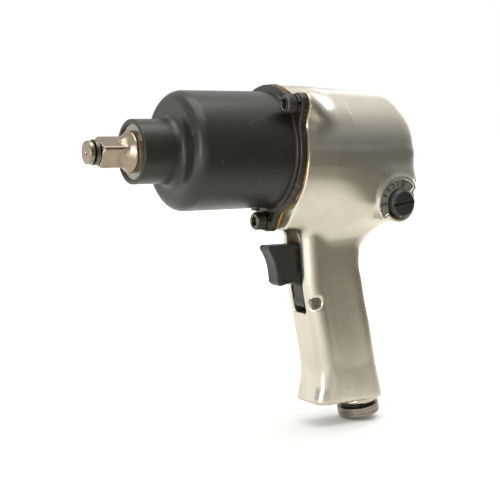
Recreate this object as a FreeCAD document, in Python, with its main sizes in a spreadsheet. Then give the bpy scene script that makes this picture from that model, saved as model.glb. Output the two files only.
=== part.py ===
import FreeCAD, Part
import Sketcher
import math
import os
import re
from FreeCAD import Placement, Rotation, Vector

# Pneumatic impact wrench with a 1/2 in square drive, in millimetres.
# Origin: on the spindle axis, at the shoulder where a socket seats.
# +X is the tool's left side, +Y runs back along the spindle and +Z is up.

SIZES = {
    # Stations along the spindle, counted back from the socket shoulder.
    "tip_at": -18.4, "button_at": -15.4, "square_end": -12.2, "flare_at": 5.6, "nose_at": 6.7,
    "shoulder_at": 29.5, "barrel_at": 36.5, "flange_at": 89.5, "gasket_at": 93.55, "joint_at": 94.0,
    "housing_rear": 179.5, "cavity_at": 38.0, "bore_end": 144.8, "chamber_end": 164.0,
    # Spindle and hammer case.
    "drive_flats": 12.7, "drive_corner": 8.35, "anvil_radius": 11.0, "core_radius": 9.5, "pilot_radius": 5.0,
    "lobe_radius": 12.6, "lobe_width": 7.0, "nose_radius": 17.1, "bush_radius": 14.5, "barrel_radius": 32.2,
    "flange_radius": 36.0, "cavity_radius": 28.4, "bolt_circle": 39.5, "ear_radius": 6.3, "web_foot": 27.0,
    "screw_radius": 2.95, "screw_length": 16.0, "head_radius": 5.0, "head_height": 6.0, "washer_height": 1.9,
    # Impact mechanism.
    "cage_radius": 27.6, "web_inner": 25.4, "cage_front": 42.0, "cage_plate": 6.0, "cage_rear": 84.0,
    "hub_end": 94.3, "hub_radius": 11.0, "hammer_outer": 24.3, "hammer_inner": 14.0, "hammer_length": 16.8,
    "dog_inner": 10.8, "front_hammer_at": 48.6, "rear_hammer_at": 66.6, "pin_circle": 19.2, "pin_radius": 3.0,
    "spline_core": 5.2, "spline_tip": 6.2, "spline_width": 1.6,
    # Air motor.
    "motor_radius": 28.95, "front_plate_at": 94.6, "cylinder_at": 102.6, "rear_plate_at": 136.6,
    "plates_end": 144.6, "air_bore": 25.0, "air_offset": 2.25, "rotor_radius": 22.5, "rotor_gap": 0.15,
    "vane_depth": 8.8, "vane_thick": 2.4, "slot_thick": 2.6, "rear_shaft": 5.0, "front_shaft": 6.0,
    "race_width": 6.0, "front_race": 12.0, "front_pitch": 9.0, "front_ball": 1.9,
    "rear_race": 11.0, "rear_pitch": 8.0, "rear_ball": 1.7,
    # Housing shell and handle.
    "shell_front": 35.6, "shell_rear": 33.0, "rear_round": 20.0, "motor_bore": 29.0, "crease_at": -7.0,
    "belly_at": -44.5, "handle_bottom": -146.8, "handle_half": 13.9,
    "slot_half": 6.2, "slot_top": -44.8, "slot_bottom": -93.6, "slot_back": 122.0,
    # Air inlet and throttle along the raked passage of the handle.
    "exhaust_y": 132.0, "exhaust_bore": 7.0, "channel_y": 124.5, "channel_z": -108.0, "side_gap": 8.0,
    "feed_y": 136.0, "feed_z": -58.0, "port_radius": 3.4,
    "rake": 10.5, "inlet_y": 153.0, "inlet_z": -147.0, "passage_radius": 8.5, "thread_radius": 6.6,
    "bush_body": 10.4, "ring_radius": 12.4, "boss_radius": 12.9,
    "pivot_y": 115.3, "pivot_z": -87.1, "pivot_radius": 2.0, "trigger_half": 5.2,
    "plunger_z": -62.0, "plunger_radius": 2.5, "plunger_front": 112.6, "plunger_end": 134.6,
    # Regulator across the tool, near the rear of the housing.
    "regulator_y": 157.0, "regulator_z": -30.5, "valve_radius": 6.4, "valve_bush": 7.5, "knob_radius": 8.2,
    "knob_front": 39.2, "knob_back": 35.2, "dial_radius": 13.2, "dial_face": 34.5, "regulator_boss": 14.5,
}
SCREW_ANGLES = (38.0, 142.0, 270.0)
VANE_ANGLES = tuple(-45.0 + 60.0 * index for index in range(6))
BALL_COUNT = 9

doc = FreeCAD.newDocument("impact_wrench")
sheet = doc.addObject("Spreadsheet::Sheet", "sizes")
for row, (alias, value) in enumerate(SIZES.items(), start=1):
    sheet.set(f"A{row}", alias)
    sheet.set(f"B{row}", str(value))
    sheet.setAlias(f"B{row}", alias)
doc.recompute()

TURNS = {
    "x": Rotation(Vector(0, 1, 0), 90),
    "y": Rotation(Vector(1, 0, 0), -90),
    "z": Rotation(),
}
ABOUT_Y = Vector(0, 1, 0)
UP_PASSAGE = Rotation(Vector(1, 0, 0), SIZES["rake"])
TURNED_UP = Rotation(Vector(1, 0, 0), 90 + SIZES["rake"])
TURNED_LEFT = Rotation(Vector(0, 0, 1), -90)


# ---------------------------------------------------------------- helpers

def link(formula):
    """Turn aliases inside a formula into references to the sheet's cells."""
    def swap(word):
        return f"sizes.{word.group()}" if word.group() in SIZES else word.group()
    return re.sub(r"[a-z_]\w*", swap, str(formula))


def number(formula):
    """The present value of a formula of aliases."""
    return float(sheet.evalExpression(link(formula).replace("sizes.", "")))


def bind(item, **formulas):
    """Bind properties to formulas; a double underscore stands for a dot."""
    for name, formula in formulas.items():
        item.setExpression(name.replace("__", "."), link(formula))
    return item


def put(item, at=(0, 0, 0), turn=Rotation()):
    """Turn an item, then bind its position to three formulas."""
    item.Placement = Placement(Vector(), turn)
    return bind(item, Placement__Base__x=at[0], Placement__Base__y=at[1], Placement__Base__z=at[2])


def cylinder(name, radius, length, at=(0, 0, 0), along="y", turn=None):
    """A cylinder that starts at a point and runs along an axis."""
    item = doc.addObject("Part::Cylinder", name)
    bind(item, Radius=radius, Height=length)
    return put(item, at, turn or TURNS[along])


def box(name, size, at, turn=Rotation()):
    """A box with its low corner at a point."""
    item = doc.addObject("Part::Box", name)
    bind(item, Length=size[0], Width=size[1], Height=size[2])
    return put(item, at, turn)


def torus(name, ring, wire, at=(0, 0, 0), along="y", turn=None):
    """A ring with a round wire, its axis along an axis."""
    item = doc.addObject("Part::Torus", name)
    bind(item, Radius1=ring, Radius2=wire)
    return put(item, at, turn or TURNS[along])


def cone(name, first, second, length, at=(0, 0, 0), along="y", turn=None):
    """A cone frustum from the first radius to the second."""
    item = doc.addObject("Part::Cone", name)
    bind(item, Radius1=first, Radius2=second, Height=length)
    return put(item, at, turn or TURNS[along])


def fuse(name, *items):
    """Join items into one shape."""
    item = doc.addObject("Part::MultiFuse", name)
    item.Shapes = list(items)
    return item


def cut(name, base, *tools):
    """Take tools away from a base."""
    item = doc.addObject("Part::Cut", name)
    item.Base = base
    item.Tool = tools[0] if len(tools) == 1 else fuse(f"{name}_tools", *tools)
    return item


def common(name, *items):
    """What two or more items share."""
    item = doc.addObject("Part::MultiCommon", name)
    item.Shapes = list(items)
    return item


def group(name, items):
    """Separate solids of one kind, kept together in one object."""
    item = doc.addObject("Part::Compound", name)
    item.Links = list(items)
    return item


def moved(name, item, at=(0, 0, 0), turn=Rotation()):
    """An item turned about the origin and then shifted."""
    return put(group(name, [item]), at, turn)


def sketch_on(body, role, lift=0):
    """A sketch on one of the body's own origin planes."""
    sketch = body.newObject("Sketcher::SketchObject", f"{body.Name}_sketch")
    plane = [item for item in body.Origin.OriginFeatures if item.Role == role][0]
    sketch.AttachmentSupport = [(plane, "")]
    sketch.MapMode = "FlatFace"
    sketch.setExpression("AttachmentOffset.Base.z", link(lift))
    return sketch


def fix_point(sketch, edge, end, point):
    """Tie one end of a sketch edge to a pair of formulas."""
    for kind, formula in zip(("DistanceX", "DistanceY"), point):
        which = sketch.addConstraint(Sketcher.Constraint(kind, -1, 1, edge, end, number(formula)))
        sketch.setExpression(f"Constraints[{which}]", link(formula))


def polygon(sketch, points):
    """A closed outline of straight edges through points given as formulas."""
    places = [Vector(number(x), number(y), 0) for x, y in points]
    for place, after in zip(places, places[1:] + places[:1]):
        sketch.addGeometry(Part.LineSegment(place, after))
    for edge, point in enumerate(points):
        sketch.addConstraint(Sketcher.Constraint("Coincident", edge, 1, (edge - 1) % len(points), 2))
        fix_point(sketch, edge, 1, point)


def rounded_outline(sketch, half, front, rear, front_round, rear_round):
    """A rectangle across the tool with arcs at its four corners."""
    ends = [
        ((f"{front_round} - {half}", front), (f"{half} - {front_round}", front)),
        ((half, f"{front} + {front_round}"), (half, f"{rear} - {rear_round}")),
        ((f"{half} - {rear_round}", rear), (f"{rear_round} - {half}", rear)),
        ((f"-{half}", f"{rear} - {rear_round}"), (f"-{half}", f"{front} + {front_round}")),
    ]
    rounds = [front_round, rear_round, rear_round, front_round]
    places = [[Vector(number(x), number(y), 0) for x, y in pair] for pair in ends]
    for pair in places:
        sketch.addGeometry(Part.LineSegment(*pair))
    for edge, size in enumerate(rounds):
        start = places[edge][1]
        corner_turn = math.radians(-90 + 90 * edge)
        centre = start - Vector(math.cos(corner_turn), math.sin(corner_turn), 0) * number(size)
        arc = Part.ArcOfCircle(
            Part.Circle(centre, Vector(0, 0, 1), number(size)), corner_turn, corner_turn + math.pi / 2
        )
        which = sketch.addGeometry(arc)
        sketch.addConstraint(Sketcher.Constraint("Coincident", edge, 2, which, 1))
        sketch.addConstraint(Sketcher.Constraint("Coincident", which, 2, (edge + 1) % 4, 1))
        radius = sketch.addConstraint(Sketcher.Constraint("Radius", which, number(size)))
        sketch.setExpression(f"Constraints[{radius}]", link(size))
    for edge, pair in enumerate(ends):
        fix_point(sketch, edge, 1, pair[0])
        fix_point(sketch, edge, 2, pair[1])


def turned(name, points, at=(0, 0, 0), turn=Rotation()):
    """A turned piece: (radius, station) points revolved about Y, then placed."""
    body = doc.addObject("PartDesign::Body", name)
    sketch = sketch_on(body, "XY_Plane")
    polygon(sketch, points)
    revolution = body.newObject("PartDesign::Revolution", f"{name}_revolution")
    revolution.Profile = sketch
    revolution.ReferenceAxis = (sketch, ["V_Axis"])
    revolution.Angle = 360
    return put(body, at, turn)


def plate(name, points, half):
    """A piece cut from plate: (y, z) points, padded equally to both sides."""
    body = doc.addObject("PartDesign::Body", name)
    sketch = sketch_on(body, "YZ_Plane", f"-{half}")
    polygon(sketch, points)
    pad = body.newObject("PartDesign::Pad", f"{name}_pad")
    pad.Profile = sketch
    pad.setExpression("Length", link(f"2 * {half}"))
    return body


def lofted(name, sections, base="XY_Plane"):
    """A body lofted through rounded outlines: (height, half, front, rear, two radii)."""
    body = doc.addObject("PartDesign::Body", name)
    sketches = []
    for height, *outline in sections:
        sketch = sketch_on(body, base, height)
        rounded_outline(sketch, *outline)
        sketches.append(sketch)
    loft = body.newObject("PartDesign::AdditiveLoft", f"{name}_loft")
    loft.Profile = sketches[0]
    loft.Sections = sketches[1:]
    return body


def softened(name, base, radius, wanted, chamfer=False):
    """Round or chamfer the edges of a base that a test picks out."""
    doc.recompute()
    item = doc.addObject("Part::Chamfer" if chamfer else "Part::Fillet", name)
    item.Base = base
    edges = enumerate(base.Shape.Edges, start=1)
    item.Edges = [(index, radius, radius) for index, edge in edges if wanted(edge)]
    return item


def circle_at(station, radius):
    """A test for full circles about the spindle at a station and radius."""
    def wanted(edge):
        curve = edge.Curve
        if not isinstance(curve, Part.Circle):
            return False
        return abs(curve.Center.y - number(station)) < 0.05 and abs(curve.Radius - number(radius)) < 0.05
    return wanted


def around(angle, radius):
    """Formulas of a point at an angle above +X, at a distance from the spindle."""
    return f"({radius}) * cos({angle})", f"({radius}) * sin({angle})"


def raked(distance):
    """A point on the raked passage, a distance up from its mouth."""
    return ("0", f"inlet_y - ({distance}) * sin(rake)", f"inlet_z + ({distance}) * cos(rake)")


# ---------------------------------------------------------------- housing

def housing_blank():
    """Barrel turned about the spindle, a tapering belly and a raked handle."""
    barrel = turned("barrel_shell", [
        ("0", "joint_at"), ("shell_front", "joint_at"), ("shell_front - 0.1", "joint_at + 19"),
        ("shell_rear", "housing_rear - rear_round - 1"), ("shell_rear", "housing_rear"), ("0", "housing_rear"),
    ])
    barrel = softened("barrel_rounded", barrel, SIZES["rear_round"], circle_at("housing_rear", "shell_rear"))
    belly = lofted("belly_shell", [
        ("crease_at + 5", "shell_rear + 1.2", "joint_at", "housing_rear - 0.5", "1", "19"),
        ("crease_at", "shell_rear + 0.9", "joint_at", "housing_rear - 0.8", "1", "19"),
        ("crease_at - 14", "30.5", "joint_at", "housing_rear - 2.5", "1.5", "17"),
        ("crease_at - 26", "23.5", "joint_at", "housing_rear - 9", "3", "13"),
        ("belly_at", "14", "joint_at", "housing_rear - 18", "3", "10"),
    ])
    flank = lofted("flank_shell", [
        ("-3", "shell_rear + 1.1", "126", "housing_rear - 0.9", "14", "19"),
        ("-17", "shell_rear + 1.8", "130", "housing_rear - 1.2", "12", "19"),
        ("-31", "32.5", "134", "housing_rear - 5", "12", "18"),
        ("-41", "24", "138", "housing_rear - 11.5", "10", "14"),
    ])
    grip = lofted("grip_shell", [
        ("belly_at + 8", "handle_half + 0.6", "106.5", "164", "7", "10"),
        ("belly_at - 8", "handle_half", "107.3", "153.6", "7", "10"),
        ("-64", "handle_half - 0.2", "108", "149.8", "7", "10"),
        ("-90", "handle_half - 0.4", "111.3", "154.6", "7", "10.5"),
        ("-120", "handle_half - 0.5", "117.6", "161", "7", "10.5"),
        ("-138", "handle_half - 0.2", "120", "164.4", "7", "10.5"),
        ("handle_bottom", "handle_half + 0.3", "116.8", "168", "7", "11"),
    ])
    inlet_boss = cylinder("inlet_boss", "boss_radius", "22", raked("-2"), turn=UP_PASSAGE)
    regulator_boss = cylinder("dial_boss", "regulator_boss", "dial_face - 6.2",
                              ("7", "regulator_y", "regulator_z"), "x")
    ears = []
    for angle in SCREW_ANGLES:
        x, z = around(angle, "bolt_circle")
        ears.append(cone("housing_ear", "ear_radius", "2.5", "24", (x, "joint_at", z)))
        x, z = around(angle, "bolt_circle - 6")
        ears.append(cone("housing_ear_root", "ear_radius + 0.8", "3", "28", (x, "joint_at", z)))
        ears.append(ear_web("housing_ear_web", "joint_at", "3", "web_foot", "ear_radius", angle))
    return fuse("housing_blank", barrel, belly, flank, grip, inlet_boss, regulator_boss, *ears)


def housing_hollows():
    """Motor bore, air passages, trigger slot and every drilled hole."""
    hollows = [
        cylinder("bore_hollow", "motor_bore", "bore_end - joint_at + 1", ("0", "joint_at - 1", "0")),
        cylinder("chamber_hollow", "19.5", "chamber_end - bore_end + 1", ("0", "bore_end - 1", "0")),
        cylinder("valve_hollow", "valve_bush", "60", ("-17", "regulator_y", "regulator_z"), "x"),
        cylinder("dial_recess", "dial_radius + 0.2", "9",
                 ("dial_face - 1.6", "regulator_y", "regulator_z"), "x"),
        cylinder("passage_hollow", "passage_radius", "90", raked("6"), turn=UP_PASSAGE),
        cylinder("inlet_hollow", "bush_body", "24", raked("-6"), turn=UP_PASSAGE),
        cylinder("feed_hollow", "5", "26", ("0", "feed_y", "feed_z"), turn=Rotation(Vector(1, 0, 0), -36)),
        cylinder("bushing_hollow", "4", "20", ("0", "slot_back - 3", "plunger_z"), "y"),
        cylinder("pivot_hole", "pivot_radius + 0.01", "24", ("-11.5", "pivot_y", "pivot_z"), "x"),
        cylinder("pivot_recess", "3.3", "8", ("9.4", "pivot_y", "pivot_z"), "x"),
        cylinder("exhaust_hollow", "exhaust_bore", "42", ("0", "exhaust_y", "handle_bottom - 1"),
                 turn=UP_PASSAGE),
        cylinder("grille_hollow", "exhaust_bore + 1.2", "3.4",
                 ("0", "exhaust_y", "handle_bottom - 1"), "z"),
    ]
    for side in (-1, 1):
        across = f"{side} * side_gap"
        hollows.append(cylinder("port_hollow", "port_radius", "26",
                                (across, "regulator_y", "regulator_z"), "z"))
        hollows.append(cylinder("exhaust_channel", "port_radius", "84", (across, "channel_y", "channel_z"),
                                turn=Rotation(Vector(1, 0, 0), 1.5)))
    slot = box("slot_box", ("2 * slot_half", "40", "slot_top - slot_bottom"),
               ("-slot_half", "slot_back - 40", "slot_bottom"))
    hollows.append(softened("slot_hollow", slot, 2.5, lambda edge: edge.BoundBox.YLength > 39))
    for angle in SCREW_ANGLES:
        x, z = around(angle, "bolt_circle")
        hollows.append(cylinder("thread_hole", "screw_radius + 0.05", "13", (x, "joint_at - 1", z)))
    return hollows


def make_housing():
    """The one-piece aluminium motor housing and handle."""
    return cut("motor_housing", housing_blank(), *housing_hollows())


# ---------------------------------------------------------------- hammer case

def flange_blank(name, start, length, radius, ear):
    """A round flange with an ear at each screw."""
    parts = [cylinder(f"{name}_disc", radius, length, ("0", start, "0"))]
    for angle in SCREW_ANGLES:
        x, z = around(angle, "bolt_circle")
        parts.append(cylinder(f"{name}_ear", ear, length, (x, start, z)))
        parts.append(ear_web(f"{name}_web", start, length, "web_foot", ear, angle))
    return fuse(f"{name}_blank", *parts)


def ear_web(name, start, length, radius, ear, angle):
    """The straight-sided web that runs along the common tangents of a circle and an ear."""
    slope = f"(({radius}) - ({ear})) / bolt_circle"
    spread = f"sqrt(1 - ({slope}) * ({slope}))"
    web = doc.addObject("Part::Wedge", name)
    bind(web, Ymin=f"({radius}) * ({slope})", Ymax=f"bolt_circle + ({ear}) * ({slope})",
         Xmin=f"-({radius}) * {spread}", Xmax=f"({radius}) * {spread}", X2min=f"-({ear}) * {spread}",
         X2max=f"({ear}) * {spread}", Zmin="0", Z2min="0", Zmax=length, Z2max=length)
    return put(web, ("0", start, "0"), Rotation(ABOUT_Y, -90 - angle) * TURNS["y"])


def flange_holes(name, start, length, radius):
    """The screw holes through a flange."""
    holes = []
    for angle in SCREW_ANGLES:
        x, z = around(angle, "bolt_circle")
        holes.append(cylinder(f"{name}_hole", radius, length, (x, f"{start} - 1", z)))
    return holes


def make_hammer_case():
    """Turned nose, shoulder and barrel with a three-eared flange."""
    shell = turned("case_shell", [
        ("0", "nose_at"), ("nose_radius", "nose_at"), ("nose_radius", "shoulder_at"),
        ("barrel_radius", "shoulder_at"), ("barrel_radius", "gasket_at"), ("0", "gasket_at"),
    ])
    shell = softened("case_shoulder", shell, 7.0, circle_at("shoulder_at", "barrel_radius"))
    shell = softened("case_neck", shell, 2.5, circle_at("shoulder_at", "nose_radius"))
    shell = softened("case_nose", shell, 0.8, circle_at("nose_at", "nose_radius"), chamfer=True)
    flange = flange_blank("case_flange", "flange_at", "gasket_at - flange_at", "flange_radius", "ear_radius")
    whole = fuse("case_whole", shell, flange)
    hollows = flange_holes("case", "flange_at", "8", "screw_radius + 0.25")
    hollows.append(cylinder("case_cavity", "cavity_radius", "gasket_at - cavity_at + 1",
                            ("0", "cavity_at", "0")))
    hollows.append(cylinder("case_bore", "bush_radius", "40", ("0", "nose_at - 1", "0")))
    hollows.append(cylinder("plug_hole", "2.3", "8", ("-3.2", "84.5", "-34"), "z"))
    return cut("hammer_case", whole, *hollows)


def make_case_fittings():
    """Bushing, gasket, grease plug, screws and lock washers of the hammer case."""
    turned("hammer_case_bushing", [
        ("anvil_radius + 0.05", "nose_at + 1.1"), ("bush_radius - 0.02", "nose_at + 1.1"),
        ("bush_radius - 0.02", "cavity_at - 0.4"), ("anvil_radius + 0.05", "cavity_at - 0.4"),
    ])
    blank = flange_blank("gasket", "gasket_at", "joint_at - gasket_at", "flange_radius + 0.3",
                         "ear_radius + 0.2")
    holes = flange_holes("gasket", "gasket_at", "4", "screw_radius + 0.25")
    cut("hammer_case_gasket", blank, cylinder("gasket_bore", "cavity_radius", "4", ("0", "gasket_at - 1", "0")),
        *holes)
    plug = cylinder("plug_body", "2.28", "5.2", ("-3.2", "84.5", "-33.6"), "z")
    cut("grease_plug", plug, box("plug_slot", ("6", "0.8", "1"), ("-6.2", "84.1", "-33.7")))
    screws, washers = [], []
    for angle in SCREW_ANGLES:
        x, z = around(angle, "bolt_circle")
        seat = "flange_at - washer_height"
        head = cylinder("screw_head", "head_radius", "head_height", (x, f"{seat} - head_height", z))
        shank = cylinder("screw_shank", "screw_radius", "screw_length", (x, seat, z))
        body = fuse("screw_body", head, shank)
        socket = doc.addObject("Part::Prism", "screw_socket")
        socket.Polygon = 6
        bind(socket, Circumradius="2.5 / cos(30)", Height="4")
        put(socket, (x, f"{seat} - head_height - 1", z), TURNS["y"])
        screws.append(cut("screw", body, socket))
        ring = cylinder("washer_ring", "5.4", "washer_height", (x, seat, z))
        hole = cylinder("washer_hole", "screw_radius + 0.2", "washer_height + 2", (x, f"{seat} - 1", z))
        gap = box("washer_gap", ("6", "washer_height + 2", "0.9"), (x, f"{seat} - 1", z))
        washers.append(cut("washer", ring, hole, gap))
    group("hammer_case_screws", screws)
    group("hammer_case_lock_washers", washers)


# ---------------------------------------------------------------- anvil and impact mechanism

def make_anvil():
    """Square drive, journal, thrust collar, two striking lobes and a rear pilot."""
    shaft = turned("anvil_shaft", [
        ("0", "tip_at"), ("5.4", "tip_at"), ("6.2", "tip_at + 0.8"), ("6.2", "button_at"), ("4.5", "button_at"),
        ("4.5", "square_end"), ("6.3", "square_end"), ("6.3", "0"), ("7.6", "0"), ("8.4", "1.6"),
        ("9.8", "flare_at - 1.4"), ("anvil_radius", "flare_at"), ("anvil_radius", "cavity_at"),
        ("13.4", "cavity_at"), ("13.4", "cavity_at + 3.4"), ("anvil_radius", "cavity_at + 3.4"),
        ("anvil_radius", "front_hammer_at"), ("core_radius", "front_hammer_at"),
        ("core_radius", "cage_rear - 0.4"), ("pilot_radius", "cage_rear - 0.4"),
        ("pilot_radius", "cage_rear + 2"), ("0", "cage_rear + 2"),
    ])
    square = box("drive_square", ("drive_flats", "3 - square_end", "drive_flats"),
                 ("-drive_flats / 2", "square_end", "-drive_flats / 2"))
    corners = cylinder("drive_corners", "drive_corner", "3 - square_end", ("0", "square_end", "0"))
    drive = common("drive", square, corners)
    parts = [shaft, put(drive, turn=Rotation(ABOUT_Y, 29))]
    limit = cylinder("lobe_limit", "lobe_radius", "90", ("0", "0", "0"))
    bars = [
        box("front_lobe", ("lobe_radius + 2", "hammer_length - 3", "lobe_width"),
            ("0", "front_hammer_at + 1.5", "-lobe_width / 2")),
        box("rear_lobe", ("lobe_radius + 2", "hammer_length - 3", "lobe_width"),
            ("-lobe_radius - 2", "rear_hammer_at + 1.5", "-lobe_width / 2")),
    ]
    parts.append(common("lobes", limit, fuse("lobe_bars", *bars)))
    fuse("anvil", *parts)
    torus("retaining_ring_oring", "5.0", "0.45", ("0", "(button_at + square_end) / 2", "0"))
    ring = cylinder("ring_disc", "6.7", "1.9", ("0", "(button_at + square_end) / 2 - 0.95", "0"))
    hole = cylinder("ring_hole", "5.5", "6", ("0", "button_at - 1", "0"))
    gap = box("ring_gap", ("1.2", "6", "8"), ("-0.6", "button_at - 1", "0"))
    cut("socket_retaining_ring", ring, hole, gap)


def make_hammer(name, start, turn):
    """A ring that rocks on one pin, with an inward dog and a slot for the other pin."""
    ring = cylinder("hammer_ring", "hammer_outer", "hammer_length")
    dog = box("hammer_dog", ("6", "hammer_length", "6"), ("dog_inner", "0", "-3"))
    dog = moved("dog_turned", dog, turn=Rotation(ABOUT_Y, -36))
    opening = cylinder("hammer_opening", "hammer_inner", "hammer_length + 2", ("0", "-1", "0"))
    blank = fuse("hammer_blank", cut("hammer_open", ring, opening), dog)
    pin_hole = cylinder("hammer_pin_hole", "pin_radius + 0.06", "hammer_length + 2",
                        ("0", "-1", "pin_circle"))
    slot = box("hammer_slot", ("10", "hammer_length + 2", "2 * pin_radius + 1"),
               ("-5", "-1", "-pin_circle - pin_radius - 0.5"))
    return put(cut(name, blank, pin_hole, slot), ("0", start, "0"), turn)


def make_cage():
    """Hammer frame: two discs joined by side webs, a splined hub and two hammer pins."""
    front = cylinder("cage_front_disc", "cage_radius", "cage_plate", ("0", "cage_front", "0"))
    rear = cylinder("cage_rear_disc", "cage_radius", "cage_plate", ("0", "cage_rear", "0"))
    hub = cylinder("cage_hub", "hub_radius", "hub_end - cage_rear", ("0", "cage_rear", "0"))
    span = "cage_rear - cage_front"
    web = cut("cage_web", cylinder("web_outer", "cage_radius", span, ("0", "cage_front", "0")),
              cylinder("web_hollow", "web_inner", f"{span} + 2", ("0", "cage_front - 1", "0")),
              box("web_window", ("30", f"{span} + 2", "70"), ("-15", "cage_front - 1", "-35")))
    blank = fuse("cage_blank", front, rear, hub, web)
    holes = [
        cylinder("cage_bore", "13.2", "cage_plate + 2", ("0", "cage_front - 1", "0")),
        cylinder("cage_pilot", "pilot_radius + 0.05", "4", ("0", "cage_rear - 1", "0")),
        cylinder("cage_spline_bore", "spline_core + 0.08", "12", ("0", "cage_rear + 2.6", "0")),
        splines("cage_splines", "cage_rear + 2.6", "12", "spline_tip + 0.08", "spline_width + 0.16"),
    ]
    for side in (-1, 1):
        holes.append(cylinder("cage_pin_hole", "pin_radius + 0.02", "60",
                              ("0", "cage_front - 1", f"{side} * pin_circle")))
    cut("hammer_frame", blank, *holes)
    group("hammer_pins", [
        cylinder("hammer_pin", "pin_radius", "cage_rear + cage_plate - cage_front - 1",
                 ("0", "cage_front + 0.5", f"{side} * pin_circle")) for side in (-1, 1)
    ])


def splines(name, start, length, tip, width):
    """Eight straight splines about the spindle."""
    bars = []
    for index in range(4):
        bar = box(f"{name}_bar", (f"2 * ({tip})", length, width), (f"-({tip})", "0", f"-({width}) / 2"))
        bars.append(moved(f"{name}_turned", bar, ("0", start, "0"), Rotation(ABOUT_Y, 45 * index)))
    return common(name, fuse(f"{name}_bars", *bars),
                  cylinder(f"{name}_limit", tip, length, ("0", start, "0")))


# ---------------------------------------------------------------- air motor

def make_rotor():
    """Slotted rotor with a splined front shaft and a plain rear shaft."""
    start, end = "cylinder_at + rotor_gap", "rear_plate_at - rotor_gap"
    core = turned("rotor_core", [
        ("0", "cage_rear + 3"), ("spline_core", "cage_rear + 3"), ("spline_core", "front_plate_at - 0.2"),
        ("front_shaft", "front_plate_at - 0.2"), ("front_shaft", start), ("rotor_radius", start),
        ("rotor_radius", end), ("rear_shaft", end), ("rear_shaft", "plates_end + 1.5"),
        ("0", "plates_end + 1.5"),
    ])
    teeth = splines("rotor_splines", "cage_rear + 3", "front_plate_at - cage_rear - 3.2", "spline_tip",
                    "spline_width")
    blank = fuse("rotor_blank", core, teeth)
    slots = []
    for angle in VANE_ANGLES:
        slot = box("rotor_slot", ("slot_thick", "60", "vane_depth + 2"),
                   ("-slot_thick / 2", "cylinder_at - 6", "rotor_radius - vane_depth - 0.4"))
        slots.append(moved("slot_turned", slot, turn=Rotation(ABOUT_Y, angle)))
    cut("rotor", blank, *slots)


def make_vanes():
    """Six flat vanes, each flush with the rotor where it is stored."""
    for index, angle in enumerate(VANE_ANGLES, start=1):
        blade = box("vane_blade", ("vane_thick", "rear_plate_at - cylinder_at - 0.5", "vane_depth"),
                    ("-vane_thick / 2", "cylinder_at + 0.25", "rotor_radius - vane_depth - 0.15"))
        moved(f"rotor_vane_{index}", blade, turn=Rotation(ABOUT_Y, angle))


def make_cylinder():
    """Liner with an eccentric bore, its end plates and the dowel that lines them up."""
    length = "rear_plate_at - cylinder_at"
    blank = cylinder("liner_blank", "motor_radius", length, ("0", "cylinder_at", "0"))
    hollows = [
        cylinder("liner_bore", "air_bore", f"{length} + 2", ("0", "cylinder_at - 1", "air_offset")),
        dowel("liner_dowel_hole", "1.52"),
    ]
    for station in ("cylinder_at + 9", "cylinder_at + 18", "cylinder_at + 27"):
        hollows.append(cylinder("liner_port", "2.2", "12", ("12", station, "-30"), "z"))
    cut("motor_cylinder", blank, *hollows)
    for name, start, race, shaft, pocket in (
        ("front_end_plate", "front_plate_at", "front_race", "front_shaft", "front_plate_at - 1"),
        ("rear_end_plate", "rear_plate_at", "rear_race", "rear_shaft", "plates_end - race_width - 0.1"),
    ):
        disc = cylinder(f"{name}_disc", "motor_radius", "8", ("0", start, "0"))
        holes = [
            cylinder(f"{name}_shaft", f"{shaft} + 0.4", "10", ("0", f"{start} - 1", "0")),
            cylinder(f"{name}_pocket", f"{race} + 0.02", "race_width + 1.1", ("0", pocket, "0")),
            dowel(f"{name}_dowel", "1.52"),
        ]
        for side in (-1, 1):
            holes.append(cylinder(f"{name}_port", "2.4", "10", (f"{side} * 14.5", f"{start} - 1", "13")))
        cut(name, disc, *holes)
    dowel("cylinder_dowel_pin", "1.5", "34")


def dowel(name, radius, length="60"):
    """The dowel's cylinder, centred on the liner's length."""
    return cylinder(name, radius, length, ("0", f"(cylinder_at + rear_plate_at - {length}) / 2", "-25.8"))


def make_bearing(end, start, race, pitch, ball, shaft):
    """A ball bearing: outer race, inner race and its ring of balls."""
    middle = f"{start} + race_width / 2"
    for kind, outer, inner in (
        ("outer", race, f"{pitch} + 0.55 * {ball}"), ("inner", f"{pitch} - 0.55 * {ball}", f"{shaft} + 0.01"),
    ):
        ring = cylinder(f"{end}_{kind}_ring", outer, "race_width", ("0", start, "0"))
        hole = cylinder(f"{end}_{kind}_hole", inner, "race_width + 2", ("0", f"{start} - 1", "0"))
        groove = torus(f"{end}_{kind}_groove", pitch, f"{ball} + 0.05", ("0", middle, "0"))
        cut(f"{end}_bearing_{kind}_race", ring, hole, groove)
    balls = []
    for index in range(BALL_COUNT):
        x, z = around(360 * index / BALL_COUNT, pitch)
        item = doc.addObject("Part::Sphere", f"{end}_ball")
        balls.append(put(bind(item, Radius=ball), (x, middle, z)))
    group(f"{end}_bearing_balls", balls)


# ---------------------------------------------------------------- handle fittings

def make_inlet():
    """Threaded air inlet, its O-ring and its screen."""
    turned("air_inlet_bushing", [
        ("thread_radius", "-10.5"), ("ring_radius - 0.8", "-10.5"), ("ring_radius", "-9.7"),
        ("ring_radius", "-4.4"), ("bush_body - 1.6", "-4.4"), ("bush_body - 1.6", "-2.2"),
        ("bush_body - 0.05", "-2.2"), ("bush_body - 0.05", "15"), ("thread_radius", "15"),
    ], raked("0"), TURNED_UP)
    torus("inlet_oring", "bush_body - 0.78", "0.72", raked("-3.4"), turn=UP_PASSAGE)
    cut("inlet_screen", cylinder("screen_disc", "bush_body - 0.4", "1", raked("15.3"), turn=UP_PASSAGE),
        *[cylinder("screen_hole", "1.1", "6", raked_beside(x, y, "13"), turn=UP_PASSAGE)
          for x in (-4, 0, 4) for y in (-4, 0, 4)])


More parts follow.
